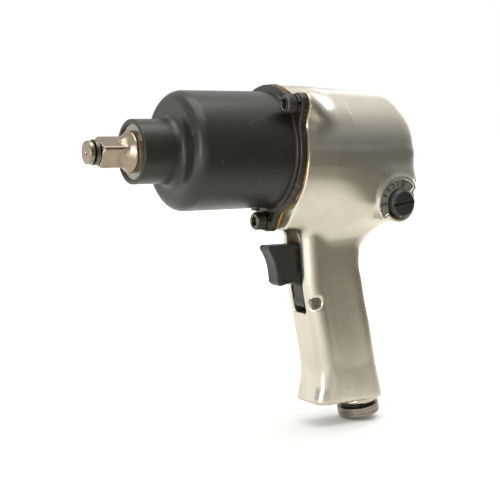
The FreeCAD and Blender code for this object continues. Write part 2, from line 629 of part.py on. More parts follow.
def raked_beside(x, y, distance):
    """A point beside the raked axis: across by x and back by y."""
    _, along, up = raked(distance)
    return (f"{x}", f"{along} + {y} * cos(rake)", f"{up} + {y} * sin(rake)")


def make_throttle():
    """Seat, tilting valve, return spring, plunger and plunger bushing."""
    turned("throttle_seat", [("5.2", "60"), ("passage_radius - 0.03", "60"), ("passage_radius - 0.03", "63"),
                             ("5.2", "63")], raked("0"), TURNED_UP)
    turned("throttle_valve", [
        ("0", "57.6"), ("7", "57.6"), ("7", "59.7"), ("2.6", "59.7"), ("2", "60.5"),
        ("2", "88.5"), ("1.4", "89.1"),
        ("0", "89.1"),
    ], raked("0"), TURNED_UP)
    pitch = 3.6
    coil = Part.makeHelix(pitch, 36.0, 5.6)
    section = Part.Wire([Part.makeCircle(0.6, Vector(5.6, 0, 0), Vector(0, 1, 0))])
    spring = doc.addObject("Part::Feature", "throttle_spring")
    spring.Shape = Part.Wire(coil).makePipeShell([section], True, True)
    start = 19.0
    rake = math.radians(SIZES["rake"])
    place = Vector(0, SIZES["inlet_y"] - start * math.sin(rake), SIZES["inlet_z"] + start * math.cos(rake))
    spring.Placement = Placement(place, UP_PASSAGE)
    turned("throttle_plunger", [
        ("0", "plunger_front"), ("2", "plunger_front"), ("plunger_radius", "plunger_front + 0.5"),
        ("plunger_radius", "plunger_end - 1"), ("1.5", "plunger_end"), ("0", "plunger_end"),
    ], ("0", "0", "plunger_z"))
    turned("plunger_bushing", [
        ("plunger_radius + 0.05", "slot_back + 0.4"), ("3.95", "slot_back + 0.4"), ("3.95", "slot_back + 7"),
        ("plunger_radius + 0.05", "slot_back + 7"),
    ], ("0", "0", "plunger_z"))


def make_trigger():
    """Lever trigger on a pin near its lower end, with the pin's side screw."""
    lever = plate("trigger_lever", [
        ("89.4", "-53.4"), ("88.2", "-55.8"), ("90.6", "-59.4"), ("92.7", "-64.7"), ("93.8", "-70"),
        ("94", "-75"), ("96.2", "-76.8"), ("103.6", "-75.4"), ("pivot_y - 5", "pivot_z + 9.6"),
        ("pivot_y - 2.4", "pivot_z - 2.2"), ("pivot_y + 2.4", "pivot_z - 2.2"),
        ("pivot_y + 2.8", "pivot_z + 5"),
        ("plunger_front - 0.6", "-70"), ("plunger_front - 0.6", "-55"), ("110.5", "-53.4"),
    ], "trigger_half")
    hub = cylinder("trigger_hub", "3.6", "2 * trigger_half", ("-trigger_half", "pivot_y", "pivot_z"), "x")
    hole = cylinder("trigger_hole", "pivot_radius + 0.06", "20", ("-10", "pivot_y", "pivot_z"), "x")
    softened("trigger", cut("trigger_sharp", fuse("trigger_blank", lever, hub), hole), 1.2, trigger_edge)
    cylinder("trigger_pin", "pivot_radius", "20.6", ("-11.4", "pivot_y", "pivot_z"), "x")
    screw = cylinder("pivot_screw_body", "3.25", "2.6", ("9.5", "pivot_y", "pivot_z"), "x")
    socket = doc.addObject("Part::Prism", "pivot_screw_socket")
    socket.Polygon = 6
    bind(socket, Circumradius="1.8 / cos(30)", Height="2.4")
    put(socket, ("10.6", "pivot_y", "pivot_z"), TURNS["x"])
    cut("trigger_pin_screw", screw, socket)


def trigger_edge(edge):
    """The long outline edges on the trigger's two side faces, ahead of the handle."""
    box_of = edge.BoundBox
    on_side = box_of.XLength < 0.01 and abs(abs(box_of.XMin) - SIZES["trigger_half"]) < 0.01
    return on_side and box_of.YMax < 97


def make_exhaust():
    """Felt muffler and pressed grille in the bottom of the handle."""
    cylinder("exhaust_muffler", "exhaust_bore - 0.2", "24", ("0", "exhaust_y - 1.9", "handle_bottom + 9"),
             turn=UP_PASSAGE)
    disc = cylinder("grille_disc", "exhaust_bore + 1.15", "2", ("0", "exhaust_y", "handle_bottom + 0.2"), "z")
    holes = [cylinder("grille_hole", "1.2", "6", (f"{x}", f"exhaust_y + {y}", "handle_bottom - 2"), "z")
             for x in (-3.9, 0, 3.9) for y in (-3.9, 0, 3.9)]
    cut("exhaust_grille", disc, *holes)


# ---------------------------------------------------------------- regulator

def make_regulator():
    """Bushing, dial and the turning group: valve, two O-rings and knob."""
    at = ("0", "regulator_y", "regulator_z")
    bush = cylinder("bushing_tube", "valve_bush - 0.02", "49", ("-16.5", at[1], at[2]), "x")
    bore = cylinder("bushing_bore", "valve_radius + 0.05", "60", ("-18", at[1], at[2]), "x")
    ports = [cylinder("bushing_port", "port_radius - 0.4", "30",
                      (f"{side} * side_gap", at[1], "regulator_z - 15"), "z") for side in (-1, 1)]
    ports.append(cylinder("bushing_feed", "4", "12", ("0", at[1], "regulator_z - 12"), "z"))
    cut("regulator_bushing", bush, bore, *ports)
    valve = turned("valve_blank", [
        ("0", "-15"), ("valve_radius", "-15"), ("valve_radius", "20"), ("valve_radius - 1", "20"),
        ("valve_radius - 1", "22"), ("valve_radius", "22"), ("valve_radius", "26"), ("valve_radius - 1", "26"),
        ("valve_radius - 1", "28"), ("valve_radius", "28"), ("valve_radius", "32"), ("3.6", "32"),
        ("3.6", "knob_back"), ("0", "knob_back"),
    ], at, TURNED_LEFT)
    flat = box("valve_gate", ("22", "20", "6"), ("-13", "regulator_y - 10", "regulator_z + 2.2"))
    cut("regulator_valve", valve, flat)
    group("regulator_orings", [
        torus("valve_oring", "valve_radius - 0.55", "0.42", (station, at[1], at[2]), "x")
        for station in ("21", "27")
    ])
    turned("regulator_dial", [
        ("knob_radius - 3", "dial_face - 1.5"), ("dial_radius", "dial_face - 1.5"),
        ("dial_radius", "dial_face - 0.4"), ("dial_radius - 0.4", "dial_face"),
        ("knob_radius - 3", "dial_face"),
    ], at, TURNED_LEFT)
    knob = turned("knob_blank", [
        ("0", "knob_back"), ("knob_radius", "knob_back"), ("knob_radius", "knob_front - 1.2"),
        ("knob_radius - 1.2", "knob_front"), ("0", "knob_front"),
    ], at, TURNED_LEFT)
    slot = box("knob_slot", ("4", "2 * knob_radius - 3", "2.2"),
               ("knob_front - 1.8", "1.5 - knob_radius", "-1.1"))
    slot = moved("knob_slot_turned", slot, ("0", at[1], at[2]), Rotation(Vector(1, 0, 0), 8))
    cut("regulator_knob", knob, slot)


# ---------------------------------------------------------------- build, check and write

make_housing()
make_hammer_case()
make_case_fittings()
make_anvil()
make_hammer("front_hammer", "front_hammer_at", Rotation())
make_hammer("rear_hammer", "rear_hammer_at", Rotation(ABOUT_Y, 180))
make_cage()
make_rotor()
make_vanes()
make_cylinder()
make_bearing("front", "front_plate_at", "front_race", "front_pitch", "front_ball", "front_shaft")
make_bearing("rear", "plates_end - race_width", "rear_race", "rear_pitch", "rear_ball", "rear_shaft")
make_inlet()
make_throttle()
make_trigger()
make_exhaust()
make_regulator()
doc.recompute()

NODES = [
    "motor_housing", "hammer_case", "hammer_case_bushing", "hammer_case_gasket", "hammer_case_screws",
    "hammer_case_lock_washers", "grease_plug", "motor_cylinder", "front_end_plate", "rear_end_plate",
    "cylinder_dowel_pin", "front_bearing_outer_race", "rear_bearing_outer_race", "air_inlet_bushing",
    "inlet_oring", "inlet_screen", "exhaust_muffler", "exhaust_grille", "regulator_bushing", "regulator_dial",
    "trigger_pin", "trigger_pin_screw", "plunger_bushing", "throttle_seat", "throttle_spring", "rotor",
    "front_bearing_inner_race", "rear_bearing_inner_race", "hammer_frame", "hammer_pins",
    "front_bearing_balls", "rear_bearing_balls", "front_hammer", "rear_hammer",
    "anvil", "socket_retaining_ring", "retaining_ring_oring", "trigger", "throttle_plunger", "throttle_valve",
    "regulator_valve", "regulator_knob", "regulator_orings",
] + [f"rotor_vane_{index}" for index in range(1, 7)]

for item in doc.Objects:
    if "Invalid" in item.State or "Error" in item.State:
        raise RuntimeError(f"{item.Name} failed: {item.State}")
os.makedirs("parts", exist_ok=True)
for name in NODES:
    shape = doc.getObject(name).Shape
    if shape.isNull() or not shape.isValid():
        raise RuntimeError(f"{name} has no valid shape")
    shape.exportStep(f"parts/{name}.step")
    print(f"{name}: {len(shape.Solids)} solid(s), {shape.Volume:.0f} mm3")
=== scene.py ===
import logging
from dataclasses import dataclass
from enum import Enum
from typing import Callable, Optional, Sequence, Union

import bmesh
import bpy
import numpy as np
from mathutils import Matrix, Vector


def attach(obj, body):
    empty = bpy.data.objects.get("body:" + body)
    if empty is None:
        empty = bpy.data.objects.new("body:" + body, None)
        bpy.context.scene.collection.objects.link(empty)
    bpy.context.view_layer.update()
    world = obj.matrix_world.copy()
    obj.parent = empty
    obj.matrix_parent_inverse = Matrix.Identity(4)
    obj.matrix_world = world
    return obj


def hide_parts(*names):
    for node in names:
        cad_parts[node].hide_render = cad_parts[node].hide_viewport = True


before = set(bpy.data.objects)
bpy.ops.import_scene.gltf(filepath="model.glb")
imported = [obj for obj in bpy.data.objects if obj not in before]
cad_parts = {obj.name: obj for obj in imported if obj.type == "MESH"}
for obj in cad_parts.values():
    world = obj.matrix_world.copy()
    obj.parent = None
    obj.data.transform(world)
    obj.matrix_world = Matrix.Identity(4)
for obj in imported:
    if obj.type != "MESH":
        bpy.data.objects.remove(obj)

# Looks of a pneumatic impact wrench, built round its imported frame.
# Shapes are worked out in millimetres: +X is the tool's left, +Y runs back along the spindle, +Z is up.

LOG = logging.getLogger("impact_wrench")
MM = 0.001
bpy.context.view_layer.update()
Array = np.ndarray
FieldOf = Callable[[Array, Array, Array], Array]
Profile = Sequence[tuple[float, float]]
Input = Union[float, Sequence[float], bpy.types.NodeSocket]


class Rider(Enum):
    """The moving groups of the tool that a piece can ride on."""
    HOUSING = "housing"
    ANVIL = "anvil"
    TRIGGER = "trigger"
    REGULATOR = "regulator"


class Surface(Enum):
    """How a piece is worked; a turned one shows its tool marks about twice as strongly as the others."""
    CAST = "cast"
    TURNED = "turned"
    MOULDED = "moulded"
    PRESSED = "pressed"


# ---------------------------------------------------------------- shape arithmetic

@dataclass(frozen=True)
class Curve:
    """A smooth curve through (position, value) knots."""
    knots: tuple[tuple[float, float], ...]

    def __call__(self, at: Array) -> Array:
        """Cubic Hermite through the knots, with slopes limited so that it never overshoots.

        Args:
            at: positions where the curve is read; they are held inside the knots.
        Returns:
            The curve's values, in the shape of the positions.
        """
        place, value = np.array(self.knots).T
        step = np.diff(place)
        rise = np.diff(value) / step
        before, after = rise[:-1], rise[1:]
        inner = np.where(after * before > 0, 2 * after * before / (after + before + 1e-12), 0)
        slope = np.concatenate([rise[:1], inner, rise[-1:]])
        at = np.clip(at, place[0], place[-1])
        which = np.clip(np.searchsorted(place, at, side="right") - 1, 0, len(step) - 1)
        t = (at - place[which]) / step[which]
        low, high = value[which], value[which + 1]
        pull_low, pull_high = slope[which] * step[which], slope[which + 1] * step[which]
        return (
            low * (1 + 2 * t) * (1 - t) ** 2 + pull_low * t * (1 - t) ** 2
            + high * t * t * (3 - 2 * t) + pull_high * t * t * (t - 1)
        )


def ease(value: Array) -> Array:
    """Smooth step: 0 below 0, 1 above 1 and 3t^2 - 2t^3 between."""
    held = np.clip(value, 0, 1)
    return held * held * (3 - 2 * held)


def blend_union(first: Array, second: Array, fillet: Array) -> Array:
    """The nearer of two distances, with a soft fillet where they are within a width of each other."""
    near = np.maximum(fillet - np.abs(first - second), 0) / fillet
    return np.minimum(first, second) - near * near * fillet / 4


def blend_cut(body: Array, tool: Array, lip: float) -> Array:
    """A body without a tool: the larger of the body and the negated tool, softened at the lip."""
    return -blend_union(-body, tool, lip)


def round_and(first: Array, second: Array, radius: float) -> Array:
    """What two distances share, with a circular round of a radius on the edge where they meet."""
    deep = np.minimum(np.maximum(first, second), -radius)
    return deep + np.hypot(np.maximum(first + radius, 0), np.maximum(second + radius, 0))


def slab(value: Array, low: float, high: float) -> Array:
    """Distance outside the range between two values."""
    return np.maximum(low - value, value - high)


def eared(x: Array, z: Array, angle: float, disc: Array, ear: Array, reach: Array) -> Array:
    """Distance from the hull of a disc on the axis and a smaller ear beside it.

    Beyond the two tangent points on either circle the distance is to that circle; between them it
    is to the straight line that touches both.

    Args:
        x, z: positions across the axis.
        angle: the ear's direction in degrees above +X.
        disc, ear, reach: the disc's radius, the ear's radius and how far out its centre stands.
    Returns:
        Distances, negative inside.
    """
    way_x, way_z = np.cos(np.radians(angle)), np.sin(np.radians(angle))
    along, beside = x * way_x + z * way_z, np.abs(x * way_z - z * way_x)
    lean = np.minimum((disc - ear) / reach, 0.999)
    rest = np.sqrt(1 - lean * lean)
    turn = rest * along - lean * beside
    line = rest * beside + lean * along - disc
    line = np.where(turn < 0, np.hypot(along, beside) - disc, line)
    return np.where(turn > rest * reach, np.hypot(along - reach, beside) - ear, line)


def polygon_distance(y: Array, z: Array, corners: Sequence[tuple[float, float]]) -> Array:
    """Signed distance from a closed outline.

    Each edge gives the distance to its nearest point; the sign flips at each edge that a ray
    running along +Y crosses.

    Args:
        y, z: positions.
        corners: the outline's corners in order.
    Returns:
        Distances, negative inside.
    """
    y, z = np.broadcast_arrays(y, z)
    squared = np.full(y.shape, np.inf)
    sign = np.ones(y.shape)
    for (ay, az), (by, bz) in zip(corners, (*corners[1:], corners[0])):
        ey, ez = by - ay, bz - az
        share = np.clip(((y - ay) * ey + (z - az) * ez) / (ey * ey + ez * ez), 0, 1)
        squared = np.minimum(squared, (y - ay - share * ey) ** 2 + (z - az - share * ez) ** 2)
        crosses = (az > z) != (bz > z)
        ahead = y < ay + (z - az) * ey / (ez if abs(ez) > 1e-9 else 1e-9)
        sign = np.where(crosses & ahead, -sign, sign)
    return sign * np.sqrt(squared)


# ---------------------------------------------------------------- meshes

def steps(*stops: tuple[float, float]) -> Array:
    """Grid stations between stops.

    Args:
        stops: each stop's place and the spacing after it.
    Returns:
        The stations in order.
    """
    runs = []
    for (start, spacing), (end, _) in zip(stops[:-1], stops[1:]):
        count = max(1, round((end - start) / spacing))
        runs.append(np.linspace(start, end, count, endpoint=False))
    return np.concatenate([*runs, [stops[-1][0]]])


def gradient(shape: FieldOf, points: Array, reach: float = 0.02) -> Array:
    """Central differences of a field at scattered points.

    Args:
        shape: the field.
        points: where its slope is wanted.
        reach: the step to either side, in millimetres.
    Returns:
        One slope vector per point.
    """
    columns = []
    for axis in range(3):
        shift = np.zeros(3)
        shift[axis] = reach
        ahead, behind = points + shift, points - shift
        columns.append((shape(*ahead.T) - shape(*behind.T)) / (2 * reach))
    return np.stack(columns, axis=1)


def net(shape: FieldOf, grid: Sequence[Array]) -> tuple[Array, Array]:
    """The zero surface of a field as quads.

    One vertex per grid cell that the surface passes through, at the mean of the crossings on the
    cell's twelve edges, joined across every grid edge whose ends have opposite signs. Each vertex
    is then moved on to the surface along the field's gradient.

    Args:
        shape: the field, negative inside, in millimetres.
        grid: the stations of the three axes.
    Returns:
        Vertex places in millimetres, and four indices per face.
    """
    xs, ys, zs = grid
    values = shape(xs[:, None, None], ys[None, :, None], zs[None, None, :])
    values = np.broadcast_to(values, (len(xs), len(ys), len(zs)))
    inside = values < 0
    cell_shape = tuple(size - 1 for size in inside.shape)
    corners = [(i, j, k) for i in (0, 1) for j in (0, 1) for k in (0, 1)]

    def corner_view(source: Array, corner: tuple[int, int, int]) -> Array:
        """The values of a source at one corner of every cell."""
        return source[tuple(slice(c, c + n) for c, n in zip(corner, cell_shape))]

    full = sum(corner_view(inside, corner).astype(np.int8) for corner in corners)
    cells = np.argwhere((full > 0) & (full < 8))
    number = np.full(cell_shape, -1, np.int64)
    number[tuple(cells.T)] = np.arange(len(cells))
    at_corner = np.stack([corner_view(values, corner)[tuple(cells.T)] for corner in corners], axis=1)
    offsets = np.array(corners)
    total, count = np.zeros((len(cells), 3)), np.zeros(len(cells))
    for first in range(8):
        for second in range(first + 1, 8):
            if np.abs(offsets[first] - offsets[second]).sum() != 1:
                continue
            a, b = at_corner[:, first], at_corner[:, second]
            crossing = (a < 0) != (b < 0)
            t = np.where(crossing, a / np.where(crossing, a - b, 1), 0)[:, None]
            place = offsets[first] * (1 - t) + offsets[second] * t
            total += place * crossing[:, None]
            count += crossing
    share = total / count[:, None]
    points = np.stack([
        axis[cells[:, n]] + share[:, n] * (axis[cells[:, n] + 1] - axis[cells[:, n]])
        for n, axis in enumerate(grid)
    ], axis=1)
    spacing = min(float(np.diff(axis).min()) for axis in grid)
    for _ in range(4):
        slope = gradient(shape, points)
        length = (slope ** 2).sum(1, keepdims=True) + 1e-9
        move = shape(*points.T)[:, None] * slope / length
        reach = np.linalg.norm(move, axis=1, keepdims=True)
        points = points - move * np.minimum(1, 0.45 * spacing / (reach + 1e-12))
    faces = []
    for axis in range(3):
        low = np.take(inside, range(inside.shape[axis] - 1), axis=axis)
        high = np.take(inside, range(1, inside.shape[axis]), axis=axis)
        edges = np.argwhere(low != high)
        b, c = (axis + 1) % 3, (axis + 2) % 3
        keep = (edges[:, b] > 0) & (edges[:, c] > 0)
        keep &= (edges[:, b] < cell_shape[b]) & (edges[:, c] < cell_shape[c])
        edges = edges[keep]
        ring = []
        for db, dc in ((1, 1), (0, 1), (0, 0), (1, 0)):
            cell = edges.copy()
            cell[:, b] -= db
            cell[:, c] -= dc
            ring.append(number[tuple(cell.T)])
        quads = np.stack(ring, axis=1)
        leaves = low[tuple(edges.T)]
        faces.append(np.where(leaves[:, None], quads, quads[:, ::-1]))
    return points, np.concatenate(faces)


def lathe(profile: Profile, segments: int = 96) -> tuple[Array, Array]:
    """A profile of (radius, station) carried round the Y axis, closed on itself or at its poles.

    A point is (radius cos a, station, radius sin a). A profile whose first and last radius are
    zero ends in two poles; any other profile is a closed ring.

    Args:
        profile: points in order, with the solid on the right hand where the station grows rightward.
        segments: how many steps the turn has.
    Returns:
        Vertex places and quad indices; pole rings are merged by the caller's clean-up.
    """
    radius, station = np.array(profile, float).T
    angle = np.linspace(0, 2 * np.pi, segments, endpoint=False)[:, None]
    points = np.stack([
        radius * np.cos(angle), np.broadcast_to(station, (segments, len(radius))), radius * np.sin(angle)
    ], axis=2)
    poles = max(radius[0], radius[-1]) < 1e-9
    return points.reshape(-1, 3), grid_faces(segments, len(radius), True, not poles)


def grid_faces(rows: int, columns: int, wrap_rows: bool, wrap_columns: bool) -> Array:
    """Quads over a grid of vertices numbered row by row, joined round where it wraps.

    Args:
        rows, columns: the grid's size.
        wrap_rows, wrap_columns: whether the last row or column joins the first.
    Returns:
        Four indices per face.
    """
    row = np.arange(rows if wrap_rows else rows - 1)[:, None]
    column = np.arange(columns if wrap_columns else columns - 1)[None, :]
    after_row, after_column = (row + 1) % rows, (column + 1) % columns
    quads = np.stack(np.broadcast_arrays(
        row * columns + column, after_row * columns + column,
        after_row * columns + after_column, row * columns + after_column,
    ), axis=2)
    return quads.reshape(-1, 4)


def softened(profile: Sequence[tuple[float, float, float]], facets: int = 5) -> list[tuple[float, float]]:
    """A profile whose corners are rounded.

    Each corner (radius, station, round) is replaced by a quadratic curve that leaves one side and
    joins the other at the round's distance from the corner.

    Args:
        profile: corners with their round; 0 keeps a corner sharp.
        facets: steps on each round.
    Returns:
        Plain (radius, station) points.
    """
    made: list[tuple[float, float]] = []
    places = np.array([corner[:2] for corner in profile], float)
    for index, corner in enumerate(profile):
        here = places[index]
        if corner[2] <= 0:
            made.append(tuple(here))
            continue
        before, after = places[index - 1] - here, places[(index + 1) % len(places)] - here
        start = here + before / np.linalg.norm(before) * corner[2]
        end = here + after / np.linalg.norm(after) * corner[2]
        t = np.linspace(0, 1, facets + 1)[:, None]
        made += [tuple(point) for point in start * (1 - t) ** 2 + here * 2 * t * (1 - t) + end * t ** 2]
    return made


def make_piece(name: str, points: Array, faces: Array, merge: bool = False) -> bpy.types.Object:
    """Put vertex places in millimetres and faces into a smooth object at the origin.

    Args:
        name: the piece's name.
        points: vertex places in millimetres.
        faces: index rows.
        merge: join doubled vertices and work out which way is outward again.
    Returns:
        The linked object, with its convexity kept in the attribute edge_wear.
    """
    mesh = bpy.data.meshes.new(name)
    mesh.from_pydata(points * MM, [], faces)
    mesh.validate()
    if merge:
        tidy_mesh(mesh)
    mesh.polygons.foreach_set("use_smooth", np.ones(len(mesh.polygons), bool))
    mark_edges(mesh)
    piece = bpy.data.objects.new(name, mesh)
    bpy.context.scene.collection.objects.link(piece)
    return piece


def tidy_mesh(mesh: bpy.types.Mesh) -> None:
    """Merge doubled vertices, drop faces with no area and turn every face outward.

    Args:
        mesh: the mesh to clean, changed in place.
    """
    work = bmesh.new()
    work.from_mesh(mesh)
    bmesh.ops.remove_doubles(work, verts=work.verts, dist=1e-7)
    bmesh.ops.dissolve_degenerate(work, edges=work.edges, dist=1e-8)
    bmesh.ops.recalc_face_normals(work, faces=work.faces)
    work.to_mesh(mesh)
    work.free()


def mark_edges(mesh: bpy.types.Mesh, rounds: int = 2) -> None:
    """Store how convex the surface is at each vertex.

    The measure is how far a vertex stands above the mean of its neighbours along its normal,
    divided by the mean edge length, and averaged over the neighbours a few times.

    Args:
        mesh: the finished mesh.
        rounds: how often the measure is averaged.
    """
    count = len(mesh.vertices)
    places, normals = np.zeros(count * 3), np.zeros(count * 3)
    mesh.vertices.foreach_get("co", places)
    mesh.vertices.foreach_get("normal", normals)
    ends = np.zeros(len(mesh.edges) * 2, np.int32)
    mesh.edges.foreach_get("vertices", ends)
    places, normals, (a, b) = places.reshape(-1, 3), normals.reshape(-1, 3), ends.reshape(-1, 2).T
    degree = np.maximum(np.bincount(a, minlength=count) + np.bincount(b, minlength=count), 1)

    def around(value: Array) -> Array:
        """The mean of a value over each vertex's neighbours."""
        return (np.bincount(a, value[b], count) + np.bincount(b, value[a], count)) / degree

    centre = np.stack([around(places[:, n]) for n in range(3)], axis=1)
    length = np.linalg.norm(places[a] - places[b], axis=1)
    mean = (np.bincount(a, length, count) + np.bincount(b, length, count)) / degree
    convex = ((places - centre) * normals).sum(1) / np.maximum(mean, 1e-9)
    for _ in range(rounds):
        convex = 0.5 * convex + 0.5 * around(convex)
    wear = mesh.attributes.new("edge_wear", "FLOAT", "POINT")
    wear.data.foreach_set("value", convex.astype(np.float32))


# ---------------------------------------------------------------- node groups

class Graph:
    """A node tree with short ways to add and join nodes."""

    def __init__(self, tree: bpy.types.NodeTree) -> None:
        """Keep the tree that is to be filled."""
        self.tree = tree

    def add(self, kind: str, inputs: Optional[dict[Union[int, str], Input]] = None,
            **settings: object) -> bpy.types.Node:
        """Add a node.

        Args:
            kind: the node's type name.
            inputs: by input name or index, a value or an output socket to join.
            settings: properties of the node itself.
        Returns:
            The node.
        """
        node = self.tree.nodes.new(kind)
        for name, value in settings.items():
            setattr(node, name, value)
        for name, value in (inputs or {}).items():
            if isinstance(value, bpy.types.NodeSocket):
                self.tree.links.new(value, node.inputs[name])
            else:
                node.inputs[name].default_value = value
        return node

    def math(self, operation: str, *values: Input) -> bpy.types.NodeSocket:
        """The outcome of a sum on values or sockets."""
        return self.add("ShaderNodeMath", dict(enumerate(values)), operation=operation).outputs[0]

    def vector(self, operation: str, first: Input, second: Input) -> bpy.types.Node:
        """A vector sum on two values or sockets."""
        return self.add("ShaderNodeVectorMath", {0: first, 1: second}, operation=operation)

    def clamp(self, value: Input) -> bpy.types.NodeSocket:
        """A value held between 0 and 1."""
        return self.add("ShaderNodeClamp", {"Value": value}).outputs[0]

    def remap(self, value: Input, low: float, high: float, to_low: float = 0.0,
              to_high: float = 1.0) -> bpy.types.NodeSocket:
        """Carry a socket's value smoothly from one range to another.

        Args:
            value: what is carried.
            low, high: the range it comes from.
            to_low, to_high: the range it goes to.
        Returns:
            The carried value's socket.
        """
        node = self.add("ShaderNodeMapRange", {
            "Value": value, "From Min": low, "From Max": high, "To Min": to_low, "To Max": to_high,
        }, interpolation_type="SMOOTHSTEP")
        return node.outputs["Result"]

    def mix(self, share: Input, first: Input, second: Input) -> bpy.types.NodeSocket:
        """A colour between two by a share."""
        node = self.add("ShaderNodeMix", {0: share, 6: first, 7: second}, data_type="RGBA")
        return node.outputs[2]

    def noise(self, vector: Input, scale: Input, detail: float = 3.0, rough: float = 0.5,
              bend: float = 0.0) -> bpy.types.NodeSocket:
        """Noise between 0 and 1.

        Args:
            vector: where it is read.
            scale: features per metre.
            detail, rough: how many finer layers it has and how strong they are.
            bend: how far it is distorted.
        Returns:
            The noise's socket.
        """
        node = self.add("ShaderNodeTexNoise", {
            "Vector": vector, "Scale": scale, "Detail": detail, "Roughness": rough, "Distortion": bend,
        })
        return node.outputs["Fac"]


class GroupKit:
    """The node groups that the finishes share, each built once."""
    fine_ratio = 3.3  # how much finer the second cloud is
    broad_share = 0.68
    break_scale = 90.0  # features per metre
    ragged_scale = 700.0
    ragged_depth = 0.12

    def __init__(self) -> None:
        """Build every group."""
        self.blotches = self._blotches()
        self.grain = self._grain()
        self.scratches = self._scratches()
        self.specks = self._specks()
        self.worn_edges = self._worn_edges()

    @staticmethod
    def _start(name: str, takes: dict[str, tuple[str, Optional[Input]]],
               gives: dict[str, str]) -> tuple[Graph, bpy.types.Node, bpy.types.Node]:
        """Start a node group with named sockets.

        Args:
            name: the group's name.
            takes: its inputs, each with its kind and its value to begin with.
            gives: its outputs, each with its kind.
        Returns:
            The group's graph, its input node and its output node.
        """
        tree = bpy.data.node_groups.new(name, "ShaderNodeTree")
        for socket, (kind, value) in takes.items():
            made = tree.interface.new_socket(socket, in_out="INPUT", socket_type=kind)
            if value is not None:
                made.default_value = value
        for socket, kind in gives.items():
            tree.interface.new_socket(socket, in_out="OUTPUT", socket_type=kind)
        graph = Graph(tree)
        return graph, tree.nodes.new("NodeGroupInput"), tree.nodes.new("NodeGroupOutput")

    def _blotches(self) -> bpy.types.NodeTree:
        """Soft cloudy variation: two noises, one about three times finer, stretched to a contrast."""
        graph, takes, gives = self._start("soft_blotches", {
            "Vector": ("NodeSocketVector", None), "Scale": ("NodeSocketFloat", 60.0),
            "Contrast": ("NodeSocketFloat", 2.0),
        }, {"Mask": "NodeSocketFloat"})
        place, scale = takes.outputs["Vector"], takes.outputs["Scale"]
        broad = graph.noise(place, scale, 2.0, bend=0.6)
        fine = graph.noise(place, graph.math("MULTIPLY", scale, self.fine_ratio), 4.0, 0.6)
        both = graph.math("ADD", graph.math("MULTIPLY", broad, self.broad_share),
                          graph.math("MULTIPLY", fine, 1 - self.broad_share))
        centred = graph.math("MULTIPLY", graph.math("SUBTRACT", both, 0.5), takes.outputs["Contrast"])
        graph.tree.links.new(graph.clamp(graph.math("ADD", centred, 0.5)), gives.inputs["Mask"])
        return graph.tree

    def _grain(self) -> bpy.types.NodeTree:
        """Fine relief: stretched noise for tool marks plus an even fine grain."""
        graph, takes, gives = self._start("fine_grain", {
            "Vector": ("NodeSocketVector", None), "Stretch": ("NodeSocketVector", (1.0, 1.0, 1.0)),
            "Scale": ("NodeSocketFloat", 900.0), "Marks": ("NodeSocketFloat", 0.5),
        }, {"Height": "NodeSocketFloat", "Mask": "NodeSocketFloat"})
        place, scale, share = (takes.outputs[name] for name in ("Vector", "Scale", "Marks"))
        pulled = graph.vector("MULTIPLY", place, takes.outputs["Stretch"]).outputs[0]
        marks = graph.noise(pulled, scale, 5.0, 0.65)
        even = graph.noise(place, scale, 3.0, 0.5)
        height = graph.math("ADD", graph.math("MULTIPLY", marks, share),
                            graph.math("MULTIPLY", even, graph.math("SUBTRACT", 1.0, share)))
        graph.tree.links.new(height, gives.inputs["Height"])
        graph.tree.links.new(graph.remap(marks, 0.4, 0.62), gives.inputs["Mask"])
        return graph.tree

    def _scratches(self) -> bpy.types.NodeTree:
        """Thin wandering lines where a bent noise crosses its middle value, broken by a second noise."""
        graph, takes, gives = self._start("thin_scratches", {
            "Vector": ("NodeSocketVector", None), "Scale": ("NodeSocketFloat", 120.0),
            "Width": ("NodeSocketFloat", 0.012),
        }, {"Mask": "NodeSocketFloat"})
        pulled = graph.vector("MULTIPLY", takes.outputs["Vector"], (1.0, 0.22, 0.6)).outputs[0]
        lines = graph.noise(pulled, takes.outputs["Scale"], 1.0, bend=1.2)
        off = graph.math("ABSOLUTE", graph.math("SUBTRACT", lines, 0.5))
        line = graph.clamp(graph.math("SUBTRACT", 1.0, graph.math("DIVIDE", off, takes.outputs["Width"])))
        broken = graph.remap(graph.noise(takes.outputs["Vector"], self.break_scale, 2.0), 0.52, 0.66)
        graph.tree.links.new(graph.math("MULTIPLY", line, broken), gives.inputs["Mask"])
        return graph.tree

    def _specks(self) -> bpy.types.NodeTree:
        """Small round dots of uneven size, from the distance to scattered points."""
        graph, takes, gives = self._start("dust_specks", {
            "Vector": ("NodeSocketVector", None), "Scale": ("NodeSocketFloat", 500.0),
            "Share": ("NodeSocketFloat", 0.15),
        }, {"Mask": "NodeSocketFloat"})
        cells = graph.add("ShaderNodeTexVoronoi", {
            "Vector": takes.outputs["Vector"], "Scale": takes.outputs["Scale"],
        })
        draw = graph.add("ShaderNodeSeparateColor", {0: cells.outputs["Color"]}).outputs[0]
        chosen = graph.math("LESS_THAN", draw, takes.outputs["Share"])
        dot = graph.remap(cells.outputs["Distance"], 0.16, 0.32, 1.0, 0.0)
        graph.tree.links.new(graph.math("MULTIPLY", dot, chosen), gives.inputs["Mask"])
        return graph.tree

